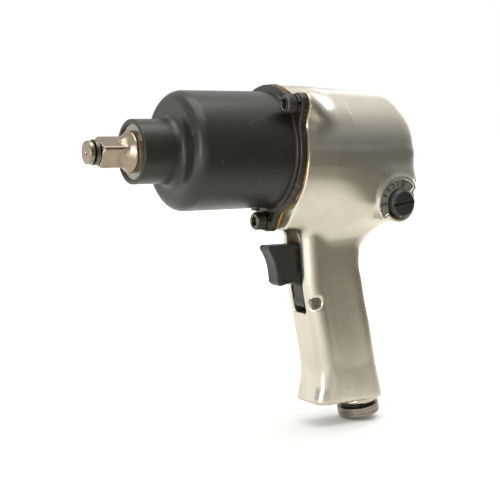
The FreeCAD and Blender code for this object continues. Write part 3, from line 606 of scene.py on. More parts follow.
    def _worn_edges(self) -> bpy.types.NodeTree:
        """Where the piece's edge_wear attribute is high, made ragged by noise."""
        graph, takes, gives = self._start("worn_edges", {
            "Vector": ("NodeSocketVector", None), "Low": ("NodeSocketFloat", 0.05),
            "High": ("NodeSocketFloat", 0.2),
        }, {"Mask": "NodeSocketFloat"})
        convex = graph.add("ShaderNodeAttribute", attribute_name="edge_wear").outputs["Fac"]
        place, low, high = (takes.outputs[name] for name in ("Vector", "Low", "High"))
        ragged = graph.math("SUBTRACT", graph.noise(place, self.ragged_scale), 0.5)
        ragged = graph.math("MULTIPLY", ragged, self.ragged_depth)
        value = graph.math("ADD", convex, ragged)
        share = graph.math("DIVIDE", graph.math("SUBTRACT", value, low), graph.math("SUBTRACT", high, low))
        graph.tree.links.new(graph.clamp(share), gives.inputs["Mask"])
        return graph.tree


# ---------------------------------------------------------------- finishes

COAT_ROUGHNESS = 0.2
SCRATCH_SCALE, SCRATCH_WIDTH = 110.0, 0.01
WAVE_SCALE = 55.0
CLOUD_SHARE = 0.8  # the rest of the tint follows the grain
SPECK_STRENGTH = 0.8
GRAIN_DULLS, RUBBING_POLISHES = 0.05, 0.08


@dataclass(frozen=True)
class Finish:
    """One procedural finish: its colours, gloss, relief and wear. Sizes are in millimetres."""
    name: str
    surface: Surface
    colour: tuple[float, float, float]
    second: tuple[float, float, float]
    roughness: tuple[float, float]
    metallic: float = 1.0
    blotch_size: float = 12.0
    contrast: float = 1.8
    grain_size: float = 0.6
    stretch: tuple[float, float, float] = (1.0, 1.0, 1.0)
    depth: float = 0.006
    wobble: float = 0.0
    worn: tuple[float, float, float] = (0.6, 0.58, 0.54)
    wear: tuple[float, float] = (0.5, 0.9)
    wear_share: float = 0.6
    scratch_share: float = 0.2
    speck_share: float = 0.02
    speck: tuple[float, float, float] = (0.6, 0.58, 0.52)
    speck_size: float = 0.5
    specular: float = 0.5
    coat: float = 0.0

    def material(self, kit: GroupKit) -> bpy.types.Material:
        """Build the finish.

        Args:
            kit: the shared node groups.
        Returns:
            The material.
        """
        made = bpy.data.materials.new(self.name)
        made.use_nodes = True
        graph = Graph(made.node_tree)
        shader = made.node_tree.nodes["Principled BSDF"]
        shader.inputs["Metallic"].default_value = self.metallic
        shader.inputs["Specular IOR Level"].default_value = self.specular
        shader.inputs["Coat Weight"].default_value = self.coat
        shader.inputs["Coat Roughness"].default_value = COAT_ROUGHNESS
        place = graph.add("ShaderNodeTexCoord").outputs["Object"]

        def shared(group: bpy.types.NodeTree, **values: Input) -> bpy.types.Node:
            """Place a shared group, read on the piece.

            Args:
                group: the group.
                values: its inputs' values by name.
            Returns:
                The group's node.
            """
            node = graph.add("ShaderNodeGroup", node_tree=group)
            graph.tree.links.new(place, node.inputs["Vector"])
            for name, value in values.items():
                node.inputs[name].default_value = value
            return node

        blotch = shared(kit.blotches, Scale=1 / (self.blotch_size * MM), Contrast=self.contrast)
        blotch = blotch.outputs[0]
        marks = 0.85 if self.surface is Surface.TURNED else 0.4
        grain = shared(kit.grain, Scale=1 / (self.grain_size * MM), Stretch=self.stretch, Marks=marks)
        scratch = shared(kit.scratches, Scale=SCRATCH_SCALE, Width=SCRATCH_WIDTH).outputs[0]
        specks = shared(kit.specks, Scale=1 / (self.speck_size * 4 * MM), Share=self.speck_share)
        edges = shared(kit.worn_edges, Low=self.wear[0], High=self.wear[1]).outputs[0]

        tint = graph.math("ADD", graph.math("MULTIPLY", blotch, CLOUD_SHARE),
                          graph.math("MULTIPLY", grain.outputs["Mask"], 1 - CLOUD_SHARE))
        colour = graph.mix(tint, (*self.colour, 1), (*self.second, 1))
        rubbed = graph.math("MAXIMUM", graph.math("MULTIPLY", edges, self.wear_share),
                            graph.math("MULTIPLY", scratch, self.scratch_share))
        colour = graph.mix(rubbed, colour, (*self.worn, 1))
        dots = graph.math("MULTIPLY", specks.outputs[0], SPECK_STRENGTH)
        colour = graph.mix(dots, colour, (*self.speck, 1))
        graph.tree.links.new(colour, shader.inputs["Base Color"])

        spread = self.roughness[1] - self.roughness[0]
        rough = graph.math("ADD", graph.math("MULTIPLY", blotch, spread), self.roughness[0])
        rough = graph.math("ADD", rough, graph.math("MULTIPLY", grain.outputs["Mask"], GRAIN_DULLS))
        rough = graph.math("SUBTRACT", rough, graph.math("MULTIPLY", rubbed, RUBBING_POLISHES))
        graph.tree.links.new(rough, shader.inputs["Roughness"])

        height = graph.math("MULTIPLY", grain.outputs["Height"], self.depth)
        dented = graph.math("SUBTRACT", height, graph.math("MULTIPLY", scratch, self.depth * 0.8))
        if self.wobble > 0:
            waves = graph.noise(place, WAVE_SCALE, 1.0, 0.4, 0.3)
            dented = graph.math("ADD", dented, graph.math("MULTIPLY", waves, self.wobble))
        bump = graph.add("ShaderNodeBump", {"Height": dented, "Distance": MM, "Strength": 1.0})
        graph.tree.links.new(bump.outputs[0], shader.inputs["Normal"])
        return made


ALUMINIUM = Finish("body_aluminium", Surface.CAST, (0.72, 0.68, 0.595), (0.60, 0.56, 0.48), (0.22, 0.33),
                   blotch_size=30, contrast=2.0, grain_size=0.5, depth=0.0012, wobble=0.2,
                   worn=(0.92, 0.90, 0.84), wear=(0.10, 0.3), wear_share=0.5, scratch_share=0.12,
                   speck_share=0.004)
CASE_BLACK = Finish("case_black", Surface.CAST, (0.013, 0.013, 0.009), (0.022, 0.021, 0.015), (0.26, 0.36),
                    metallic=0.1, blotch_size=16, grain_size=0.35, depth=0.012,
                    worn=(0.42, 0.40, 0.35), wear=(0.14, 0.4), wear_share=0.6, speck_share=0.002,
                    speck=(0.12, 0.115, 0.10), specular=0.45, coat=0.06)
BUSHING_GREY = Finish("bushing_grey", Surface.TURNED, (0.33, 0.31, 0.26), (0.24, 0.225, 0.185), (0.2, 0.3),
                      stretch=(1, 6, 1), depth=0.004, speck_share=0.005)
GASKET_FIBRE = Finish("gasket_fibre", Surface.PRESSED, (0.62, 0.33, 0.05), (0.05, 0.05, 0.035), (0.45, 0.7),
                      metallic=0.0, blotch_size=14, contrast=7, grain_size=0.3, depth=0.05, scratch_share=0)
SCREW_BLACK = Finish("screw_black", Surface.TURNED, (0.045, 0.043, 0.036), (0.09, 0.083, 0.07), (0.28, 0.42),
                     metallic=0.85, blotch_size=5, grain_size=0.25, depth=0.01,
                     worn=(0.42, 0.39, 0.33), wear=(0.16, 0.4), wear_share=0.7,
                     speck_share=0.05, speck_size=0.3)
WASHER_STEEL = Finish("washer_steel", Surface.PRESSED, (0.10, 0.10, 0.08), (0.055, 0.055, 0.042), (0.3, 0.5),
                      blotch_size=3, grain_size=0.3, depth=0.02, speck_share=0.25, speck_size=0.3)
ANVIL_STEEL = Finish("anvil_steel", Surface.TURNED, (0.38, 0.32, 0.25), (0.22, 0.18, 0.13), (0.15, 0.25),
                     blotch_size=7, contrast=2.4, grain_size=0.35, stretch=(1, 3, 1), depth=0.005,
                     wobble=0.05, worn=(0.90, 0.80, 0.62), wear=(0.10, 0.3), wear_share=0.75)
HAMMER_STEEL = Finish("hammer_steel", Surface.CAST, (0.32, 0.31, 0.30), (0.20, 0.19, 0.18), (0.3, 0.45))
MOTOR_IRON = Finish("motor_iron", Surface.TURNED, (0.30, 0.30, 0.30), (0.22, 0.22, 0.22), (0.3, 0.5),
                    stretch=(1, 5, 1))
ROTOR_STEEL = Finish("rotor_steel", Surface.TURNED, (0.50, 0.49, 0.47), (0.38, 0.37, 0.35), (0.2, 0.35),
                     stretch=(1, 5, 1))
BEARING_STEEL = Finish("bearing_steel", Surface.TURNED, (0.66, 0.66, 0.66), (0.55, 0.55, 0.55), (0.12, 0.2))
VANE_FIBRE = Finish("vane_fibre", Surface.PRESSED, (0.16, 0.09, 0.045), (0.10, 0.055, 0.03), (0.55, 0.75),
                    metallic=0.0, blotch_size=3)
TRIGGER_BLACK = Finish("trigger_black", Surface.MOULDED, (0.017, 0.021, 0.017), (0.025, 0.029, 0.023),
                       (0.34, 0.44), metallic=0.0, blotch_size=8, grain_size=0.3, depth=0.012,
                       worn=(0.13, 0.14, 0.115), wear=(0.10, 0.35), wear_share=0.8, scratch_share=0.1,
                       speck_share=0.003, speck=(0.10, 0.10, 0.09))
KNOB_BLACK = Finish("knob_black", Surface.MOULDED, (0.018, 0.018, 0.017), (0.03, 0.03, 0.027), (0.22, 0.34),
                    metallic=0.0, blotch_size=5, grain_size=0.3, depth=0.01,
                    worn=(0.35, 0.34, 0.30), wear=(0.16, 0.4), wear_share=0.45)
DIAL_GREY = Finish("dial_grey", Surface.PRESSED, (0.33, 0.325, 0.29), (0.25, 0.25, 0.22), (0.38, 0.5),
                   metallic=0.5, blotch_size=6, grain_size=0.3, depth=0.012)
RUBBER_BLACK = Finish("rubber_black", Surface.MOULDED, (0.015, 0.015, 0.013), (0.03, 0.03, 0.026), (0.4, 0.6),
                      metallic=0.0, blotch_size=2)
INLET_STEEL = Finish("inlet_steel", Surface.TURNED, (0.42, 0.37, 0.31), (0.30, 0.26, 0.215), (0.28, 0.42),
                     blotch_size=6, grain_size=0.3, depth=0.01, worn=(0.8, 0.75, 0.66), wear=(0.12, 0.3),
                     speck_share=0.06, speck_size=0.4)
BRASS = Finish("brass", Surface.TURNED, (0.62, 0.43, 0.17), (0.50, 0.33, 0.12), (0.25, 0.4), blotch_size=4)
MUFFLER_FELT = Finish("muffler_felt", Surface.MOULDED, (0.10, 0.10, 0.09), (0.17, 0.165, 0.15), (0.85, 0.95),
                      metallic=0.0, blotch_size=2, grain_size=0.4, depth=0.15, scratch_share=0)
SPRING_STEEL = Finish("spring_steel", Surface.TURNED, (0.20, 0.18, 0.15), (0.12, 0.11, 0.09), (0.25, 0.38),
                      blotch_size=3)
DIAL_INK = Finish("dial_ink", Surface.PRESSED, (0.02, 0.02, 0.018), (0.045, 0.045, 0.04), (0.4, 0.6),
                  metallic=0.0, blotch_size=1.5, contrast=3)

NODE_FINISHES: dict[str, Finish] = {
    "hammer_case_bushing": BUSHING_GREY, "hammer_case_gasket": GASKET_FIBRE,
    "hammer_case_lock_washers": WASHER_STEEL, "grease_plug": SCREW_BLACK, "motor_cylinder": MOTOR_IRON,
    "front_end_plate": MOTOR_IRON, "rear_end_plate": MOTOR_IRON, "cylinder_dowel_pin": ROTOR_STEEL,
    "front_bearing_outer_race": BEARING_STEEL, "rear_bearing_outer_race": BEARING_STEEL,
    "front_bearing_inner_race": BEARING_STEEL, "rear_bearing_inner_race": BEARING_STEEL,
    "front_bearing_balls": BEARING_STEEL, "rear_bearing_balls": BEARING_STEEL, "rotor": ROTOR_STEEL,
    "hammer_frame": HAMMER_STEEL, "hammer_pins": HAMMER_STEEL, "front_hammer": HAMMER_STEEL,
    "rear_hammer": HAMMER_STEEL, "socket_retaining_ring": SPRING_STEEL, "retaining_ring_oring": RUBBER_BLACK,
    "inlet_oring": RUBBER_BLACK, "inlet_screen": SPRING_STEEL, "exhaust_muffler": MUFFLER_FELT,
    "exhaust_grille": WASHER_STEEL, "regulator_bushing": BRASS, "regulator_dial": DIAL_GREY,
    "regulator_valve": BRASS, "regulator_orings": RUBBER_BLACK, "trigger_pin": ROTOR_STEEL,
    "trigger_pin_screw": INLET_STEEL, "plunger_bushing": BRASS, "throttle_seat": RUBBER_BLACK,
    "throttle_spring": SPRING_STEEL, "throttle_plunger": ROTOR_STEEL, "throttle_valve": BRASS,
    "motor_housing": ALUMINIUM, "hammer_case": CASE_BLACK, "hammer_case_screws": SCREW_BLACK,
    "anvil": ANVIL_STEEL, "air_inlet_bushing": INLET_STEEL, "trigger": TRIGGER_BLACK,
    "regulator_knob": KNOB_BLACK,
    **{f"rotor_vane_{index}": VANE_FIBRE for index in range(1, 7)},
}


class Dresser:
    """Keeps one material per finish and puts it on pieces."""

    def __init__(self) -> None:
        """Build the shared node groups."""
        self.kit = GroupKit()
        self.made: dict[str, bpy.types.Material] = {}

    def dress(self, piece: bpy.types.Object, finish: Finish) -> bpy.types.Object:
        """Give a piece a finish as its only material.

        Args:
            piece: the piece to dress.
            finish: its finish.
        Returns:
            The piece.
        """
        if finish.name not in self.made:
            self.made[finish.name] = finish.material(self.kit)
        piece.data.materials.clear()
        piece.data.materials.append(self.made[finish.name])
        return piece

    def settle(self, piece: bpy.types.Object, finish: Finish, rider: Rider,
               *nodes: str) -> bpy.types.Object:
        """Dress a new piece, ride it on its group and let it stand for CAD nodes.

        Args:
            piece: the new piece.
            finish: its finish, which is also its material slot's name.
            rider: the group that it moves with.
            nodes: the nodes it stands for.
        Returns:
            The piece.
        """
        self.dress(piece, finish)
        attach(piece, rider.value)
        if nodes:
            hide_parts(*nodes)
        return piece


# ---------------------------------------------------------------- the tool's own geometry

SCREW_ANGLES = (38.0, 142.0, 270.0)  # degrees above +X
BOLT_CIRCLE = 39.5
WEB_FOOT = 27.0  # radius of the disc that an ear's straight sides touch
TRIGGER_PIVOT = (115.3, -87.1)  # (y, z)


def screw_places() -> Array:
    """Where the three case screws stand: (x, z) on the bolt circle."""
    angles = np.radians(SCREW_ANGLES)
    return BOLT_CIRCLE * np.stack([np.cos(angles), np.sin(angles)], axis=1)


@dataclass(frozen=True)
class Raked:
    """The straight air passage that climbs the handle from its foot."""
    mouth_y: float = 153.0
    mouth_z: float = -147.0
    rake: float = 10.5

    def coordinates(self, x: Array, y: Array, z: Array) -> tuple[Array, Array]:
        """Distance from the passage's axis, and distance up from its mouth.

        The place is turned back by the rake about X, so the passage stands upright.

        Args:
            x, y, z: positions.
        Returns:
            How far beside the axis and how far up from the mouth each position is.
        """
        sine, cosine = np.sin(np.radians(self.rake)), np.cos(np.radians(self.rake))
        beside = (y - self.mouth_y) * cosine + (z - self.mouth_z) * sine
        up = -(y - self.mouth_y) * sine + (z - self.mouth_z) * cosine
        return np.hypot(x, beside), up

    def stand(self, points: Array) -> Array:
        """Carry points turned about Y (station = distance down) on to the raked axis."""
        turn = np.array(Matrix.Rotation(np.radians(self.rake - 90), 3, "X"))
        return points @ turn.T + np.array([0, self.mouth_y, self.mouth_z])


PASSAGE = Raked()


@dataclass(frozen=True)
class DialPlate:
    """The outline of the regulator's dial: a circle cut off along a chord behind and below the knob."""
    centre: tuple[float, float] = (157.0, -30.5)
    radius: float = 13.2
    chord: float = 1.0
    lean: float = 128.0

    def reach(self, y: Array, z: Array) -> Array:
        """Distance from the dial's axis."""
        return np.hypot(y - self.centre[0], z - self.centre[1])

    def square_grid(self, half: float, spacing: float) -> tuple[Array, Array]:
        """Stations in y and z over a square round the axis."""
        low_y, low_z = self.centre[0] - half, self.centre[1] - half
        return steps((low_y, spacing), (low_y + 2 * half, 1)), steps((low_z, spacing), (low_z + 2 * half, 1))

    def distance(self, y: Array, z: Array, radius: float, chord: float) -> Array:
        """Distance from a circle cut off by a line at a distance from its centre along the lean.

        Args:
            y, z: positions.
            radius, chord: the circle's radius and the line's distance from its centre.
        Returns:
            Distances, negative inside.
        """
        along, up = y - self.centre[0], z - self.centre[1]
        way = along * np.cos(np.radians(self.lean)) + up * np.sin(np.radians(self.lean))
        return round_and(np.hypot(along, up) - radius, chord - way, 1.0)


DIAL = DialPlate()


@dataclass
class MotorHousing:
    """The aluminium motor housing with its belly, flank, handle and regulator boss in one casting."""
    front: float = 94.0
    rear: float = 179.5
    rear_round: float = 20.0
    belly_at: float = -44.5
    belly_top: float = 4.0
    belly_rear_round: float = 18.0
    belly_edge_round: float = 3.0
    grip_front_round: float = 7.0
    grip_rear_round: float = 11.0
    grip_top: float = -34.0
    inlet_boss: float = 12.9
    ear_radius: float = 6.3
    ear_growth: float = 5.0
    ear_length: float = 31.0
    ear_draw: float = 12.3
    foot_at: float = -146.8
    motor_bore: float = 29.02
    slot_half: float = 6.2
    slot_top: float = -44.8
    slot_bottom: float = -93.6
    slot_back: float = 122.0
    boss_radius: float = 14.5
    collar_radius: float = 10.9
    dial_floor: float = 32.9
    boss_face: float = 35.2
    motor_end: float = 144.8
    bearing_bore: float = 19.5
    bearing_end: float = 164.0
    valve_bore: float = 7.53
    valve_end: float = -17.1
    knob_well: float = 8.6
    pin_hole: float = 2.02
    pin_reach: tuple[float, float] = (-11.6, 12.0)
    head_hole: float = 3.35
    head_seat: float = 9.4
    passage_bore: float = 8.52
    inlet_bore: float = 10.42
    plunger_bore: float = 4.02
    plunger_at: float = -62.0
    exhaust_y: float = 132.0
    grille_radius: float = 8.25
    grille_top: float = -144.4
    silencer_bore: float = 7.0
    silencer_slope: float = 0.185
    barrel: Curve = Curve((
        (94, 35.6), (113, 35.5), (122, 34.75), (140.5, 34.0), (160, 33.2), (180, 32.4)))
    crease: Curve = Curve((
        (94, -8.2), (116, -8.8), (130, -11.3), (146, -16), (156, -18.2), (170, -19)))
    flank: Curve = Curve((
        (94, 35.5), (113, 35.4), (122, 34.9), (134, 34.8), (146, 35.3), (160, 35.6), (180, 35.3)))
    front_taper: Curve = Curve((
        (0, 1), (0.2, 0.955), (0.4, 0.862), (0.6, 0.712), (0.83, 0.53), (0.96, 0.42), (1.2, 0.3)))
    rear_taper: Curve = Curve((
        (0, 1), (0.25, 0.99), (0.5, 0.965), (0.65, 0.91), (0.8, 0.78), (0.92, 0.6), (1, 0.45), (1.2, 0.3)))
    belly_rear: Curve = Curve((
        (-45, 162), (-43, 164), (-38, 168.8), (-32, 173.2), (-25, 176.6), (-18, 178.4), (0, 179)))
    grip_half: Curve = Curve((
        (-147, 14.1), (-136, 13.8), (-120, 13.5), (-90, 13.6), (-64, 13.8), (-45, 14.4)))
    grip_front: Curve = Curve((
        (-147, 116.4), (-142, 117.3), (-136, 118.6), (-129, 118.9), (-121, 117.8), (-105, 114.9),
        (-90, 111.9), (-78, 109.7), (-58, 107.9), (-45, 106.6), (-36, 106)))
    grip_rear: Curve = Curve((
        (-147, 167), (-142, 166), (-131, 163.3), (-116, 160.4), (-101, 157.4), (-89, 154.4), (-77, 152),
        (-66, 149.8), (-58, 150.2), (-52, 152.8), (-46.5, 158.5), (-43, 163.5), (-36, 165)))

    def shell(self, x: Array, y: Array, z: Array) -> Array:
        """Barrel, belly and flank.

        The barrel is a circle whose radius runs along a curve, rounded into its rear face. The belly
        leaves it a little above its widest line and widens to the crease. From there its half width
        is the flank's times a taper down to the flat bottom, quick at the front and late at the rear;
        its rear outline is a curve in height.

        Args:
            x, y, z: positions.
        Returns:
            Distances, negative inside.
        """
        barrel = np.hypot(x, z) - self.barrel(y)
        barrel = round_and(barrel, y - self.rear, self.rear_round)
        crease = self.crease(y)
        share = (crease - z) / (crease - self.belly_at)
        held, fullness = np.clip(share, 0, 1.2), ease((y - 112) / 28)
        taper = self.front_taper(held) * (1 - fullness) + self.rear_taper(held) * fullness
        lean = ease((z - crease) / 18)
        side = np.abs(x) - self.flank(y) * taper * (1 - lean) - (self.barrel(y) - 0.7) * lean
        side = side * np.where(share > 0, 0.85, 0.95)
        belly = round_and(side, y - self.belly_rear(z), self.belly_rear_round)
        belly = round_and(belly, self.belly_at - z, self.belly_edge_round)
        belly = round_and(belly, z - self.belly_top + 0 * y, 6.0)
        return blend_union(barrel, belly, 2.5)

    def grip(self, x: Array, y: Array, z: Array) -> Array:
        """Handle: a rectangle across with a small front round and a large rear round at every height.

        Beside the front round the side face steps in, which leaves the long crease down the handle.

        Args:
            x, y, z: positions.
        Returns:
            Distances, negative inside.
        """
        front, rear = self.grip_front(z), self.grip_rear(z)
        middle, half_depth = (front + rear) / 2, (rear - front) / 2
        behind = y - front
        fade = ease((-52 - z) / 40) * ease((z + 146) / 22)
        slope = 0.3 * ease((behind - 11.5) / 5.0) * ease((z + 125) / 30)
        inset = fade * (0.5 * ease((behind - 8.4) / 1.2) + slope)
        half = self.grip_half(z) - inset * (1 - ease((behind - 24) / 14))
        radius = np.where(y < middle, self.grip_front_round, self.grip_rear_round)
        across, along = np.abs(x) - half + radius, np.abs(y - middle) - half_depth + radius
        section = np.minimum(np.maximum(across, along), 0)
        section = section + np.hypot(np.maximum(across, 0), np.maximum(along, 0))
        section = (section - radius) * 0.97
        section = round_and(section, self.foot_at - z, 1.8)
        return np.maximum(section, z - self.grip_top)

    def bosses(self, x: Array, y: Array, z: Array, body: Array) -> Array:
        """Join the regulator boss, the inlet boss and the three screw ears to the body.

        Behind the face an ear broadens, and its tip draws in until it dies in the barrel.

        Args:
            x, y, z: positions.
            body: the body's distances.
        Returns:
            Distances with the bosses joined.
        """
        dial = DIAL.distance(y, z, self.boss_radius, DIAL.chord - 1.6)
        regulator = np.minimum(dial, np.hypot(y - DIAL.centre[0], z - DIAL.centre[1]) - self.collar_radius)
        regulator = round_and(regulator, slab(x, 4.0, self.boss_face), 0.6)
        body = blend_union(body, regulator, 3.5)
        beside, up = PASSAGE.coordinates(x, y, z)
        inlet = round_and(beside - self.inlet_boss, slab(up, -2.0, 1.0), 0.7)
        body = blend_union(body, inlet, 1.2)
        behind = y - self.front
        tip = BOLT_CIRCLE + self.ear_radius - self.ear_draw * ease(behind / 30)
        broad = self.ear_radius + self.ear_growth * ease(behind / 9)
        for angle in SCREW_ANGLES:
            ear = eared(x, z, angle, WEB_FOOT, broad, tip - broad)
            ear = np.maximum(ear * 0.95, slab(y, self.front - 1, self.front + self.ear_length))
            body = blend_union(body, ear, 4.0)
        return body

    def hollows(self, x: Array, y: Array, z: Array, body: Array) -> Array:
        """Cut the motor bore, the regulator's bore and dial, the slot, the pivot and the air passages.

        Args:
            x, y, z: positions.
            body: the body's distances.
        Returns:
            Distances with the hollows cut.
        """
        spindle = np.hypot(x, z)
        motor = np.minimum(np.maximum(spindle - self.motor_bore, y - self.motor_end),
                           np.maximum(spindle - self.bearing_bore, y - self.bearing_end))
        reach = DIAL.reach(y, z)
        valve = np.maximum(reach - self.valve_bore, slab(x, self.valve_end, 60))
        recess = DIAL.distance(y, z, DIAL.radius + 0.1, DIAL.chord - 0.1)
        recess = np.minimum(recess, reach - self.knob_well)
        recess = np.maximum(recess, self.dial_floor - x)
        slot = round_and(np.abs(x) - self.slot_half, slab(z, self.slot_bottom, self.slot_top), 2.5)
        slot = np.maximum(slot, y - self.slot_back)
        pin = np.hypot(y - TRIGGER_PIVOT[0], z - TRIGGER_PIVOT[1])
        pivot = np.minimum(np.maximum(pin - self.pin_hole, slab(x, *self.pin_reach)),
                           np.maximum(pin - self.head_hole, self.head_seat - x))
        pivot = np.minimum(pivot, (pin - 3.9 - (x - 13.2)) * 0.7)
        beside, up = PASSAGE.coordinates(x, y, z)
        passage = np.maximum(beside - self.passage_bore, slab(up, 6, 96))
        inlet = np.maximum(beside - self.inlet_bore, slab(up, -7, 18))
        plunger = np.maximum(np.hypot(x, z - self.plunger_at) - self.plunger_bore, slab(y, 118, 140))
        behind = y - self.exhaust_y
        grille = np.maximum(np.hypot(x, behind) - self.grille_radius, z - self.grille_top)
        silencer = np.hypot(x, behind + (z - self.foot_at) * self.silencer_slope)
        silencer = np.maximum(silencer - self.silencer_bore, slab(z, -150, -106))
        body = blend_cut(body, np.minimum(motor, valve), 0.4)
        body = blend_cut(body, slot, 0.9)
        body = blend_cut(body, recess, 0.7)
        body = blend_cut(body, np.minimum(pivot, plunger), 0.5)
        air = np.minimum(np.minimum(passage, inlet), np.minimum(grille, silencer))
        return blend_cut(body, air, 0.5)

    def shape(self, x: Array, y: Array, z: Array) -> Array:
        """The whole casting: shell and grip with a fillet that grows rearward, bosses, then hollows.

        Args:
            x, y, z: positions.
        Returns:
            Distances, negative inside.
        """
        body = blend_union(self.shell(x, y, z), self.grip(x, y, z), 6.0 + 8.0 * ease((y - 112) / 14))
        body = self.bosses(x, y, z, body)
        body = np.maximum(round_and(body, self.front - y + 0 * x, 0.5), y - self.rear)
        return self.hollows(x, y, z, body)

    def build(self, dresser: Dresser) -> list[bpy.types.Object]:
        """Make and dress the casting.

        Args:
            dresser: what dresses the pieces.
        Returns:
            The pieces.
        """
        grid = (
            steps((-38.5, 0.98), (38.5, 1)),
            steps((92.5, 0.9), (100, 1.05), (181, 1)),
            steps((-149.5, 1.05), (48, 1)),
        )
        casting = make_piece("housing_casting", *net(self.shape, grid))
        return [dresser.settle(casting, ALUMINIUM, Rider.HOUSING, "motor_housing")]


@dataclass
class HammerCase:
    """The black hammer case: nose, shoulder, barrel, and a flange with three ears."""
    nose_at: float = 6.7
    nose_radius: float = 17.1
    shoulder_at: float = 29.5
    barrel_radius: float = 32.2
    flange_at: float = 89.5
    flange_end: float = 93.53
    flange_radius: float = 36.0
    ear_radius: float = 6.3
    pad_radius: float = 5.9
    screw_hole: float = 3.2
    cavity_radius: float = 28.4
    cavity_at: float = 38.0
    bore: float = 14.52

    def shape(self, x: Array, y: Array, z: Array) -> Array:
        """Nose, barrel, flange and ears, less the cavity and the bore.

        Nose and barrel are circles with rounded ends. The flange is a disc joined to an ear at each
        screw. The cavity and the bushing's bore are cut out at the end.

        Args:
            x, y, z: positions.
        Returns:
            Distances, negative inside.
        """
        spindle = np.hypot(x, z)
        nose = round_and(spindle - self.nose_radius, self.nose_at - y + 0 * x, 0.7)
        nose = np.maximum(nose, y - 60)
        barrel = round_and(spindle - self.barrel_radius, slab(y, self.shoulder_at, self.flange_end + 4), 7.0)
        body = blend_union(nose, barrel, 5.0)
        flange = spindle - self.flange_radius
        for angle in SCREW_ANGLES:
            ear = eared(x, z, angle, WEB_FOOT, self.ear_radius, BOLT_CIRCLE)
            flange = blend_union(flange, ear, 2.0)
        rough_edge = 0.12 * np.sin(x * 1.7 + z * 0.9) * np.sin(z * 1.3 - x * 0.6)
        flange = round_and(flange + rough_edge, slab(y, self.flange_at, self.flange_end), 0.7)
        body = blend_union(body, flange, 1.6)
        for place_x, place_z in screw_places():
            pad = np.hypot(x - place_x, z - place_z)
            raised = np.maximum(pad - self.pad_radius, slab(y, self.flange_at - 0.05, self.flange_end))
            body = blend_union(body, raised, 0.5)
            body = blend_cut(body, np.maximum(pad - self.screw_hole, slab(y, 80, 100)), 0.3)
        body = np.maximum(body, y - self.flange_end)
        hollow = np.maximum(spindle - self.cavity_radius, self.cavity_at - y)
        hollow = np.minimum(hollow, spindle - self.bore - np.maximum(self.nose_at + 0.5 - y, 0) * 0.8)
        return blend_cut(body, hollow, 0.3)

    def build(self, dresser: Dresser) -> list[bpy.types.Object]:
        """Make and dress the case.

        Args:
            dresser: what dresses the pieces.
        Returns:
            The pieces.
        """
        grid = (
            steps((-38.5, 0.8), (38.5, 1)),
            steps((5.5, 0.5), (9, 1.0), (27, 0.7), (38, 1.3), (87, 0.5), (95, 1)),
            steps((-47, 0.8), (38, 1)),
        )
        case = make_piece("hammer_case_casting", *net(self.shape, grid))
        return [dresser.settle(case, CASE_BLACK, Rider.HOUSING, "hammer_case")]


@dataclass
class CaseScrews:
    """Three knurled socket-head screws in one piece."""
    seat_at: float = 87.6
    head_height: float = 6.0
    head_radius: float = 5.0
    shank_radius: float = 2.93
    length: float = 16.0
    knurls: int = 30
    knurl_depth: float = 0.22
    socket_half: float = 2.5
    socket_depth: float = 3.6
    segments: int = 180

    def build(self, dresser: Dresser) -> list[bpy.types.Object]:
        """Make the screws.

        Going round by an angle and along by a profile, a point's radius is the profile's radius. On the
        head's side it also swings with the cosine of the knurls' count times the angle, and in the
        socket it is the hexagon's: half the flats over the cosine of the angle from the nearest flat.

        Args:
            dresser: what dresses the pieces.
        Returns:
            The pieces.
        """
        angle = np.linspace(0, 2 * np.pi, self.segments, endpoint=False)
        swing = self.head_radius - self.knurl_depth / 2 * (1 - np.cos(self.knurls * angle))
        flat = np.pi / 3
        hexagon = self.socket_half / np.cos((angle + flat / 2) % flat - flat / 2)
        seat, shank, head = self.seat_at, self.shank_radius, self.head_radius
        tip, top = seat + self.length, seat - self.head_height
        floor = top + self.socket_depth
        rows = [
            (0, tip), (shank - 0.6, tip), (shank, tip - 0.6), (shank, seat), (head - 0.4, seat),
            (head - 0.2, seat - 0.3), (swing, seat - 0.8), (swing, top + 1.0), (head - 0.15, top + 0.7),
            (head - 0.55, top + 0.18), (head - 0.9, top), (hexagon + 0.35, top), (hexagon + 0.05, top + 0.25),
            (hexagon, top + 0.5), (hexagon, floor), (0, floor + 1.1),
        ]
        radius = np.stack([np.broadcast_to(row[0], angle.shape) for row in rows], axis=1)
        station = np.broadcast_to([row[1] for row in rows], radius.shape)
        one = np.stack([radius * np.cos(angle)[:, None], station, radius * np.sin(angle)[:, None]], axis=2)
        one = one.reshape(-1, 3)
        faces = grid_faces(self.segments, len(rows), True, False)
        places = screw_places()
        points = np.concatenate([one + np.array([x, 0, z]) for x, z in places])
        every = np.concatenate([faces + index * len(one) for index in range(len(places))])
        screws = make_piece("case_screws", points, every, merge=True)
        return [dresser.settle(screws, SCREW_BLACK, Rider.HOUSING, "hammer_case_screws")]


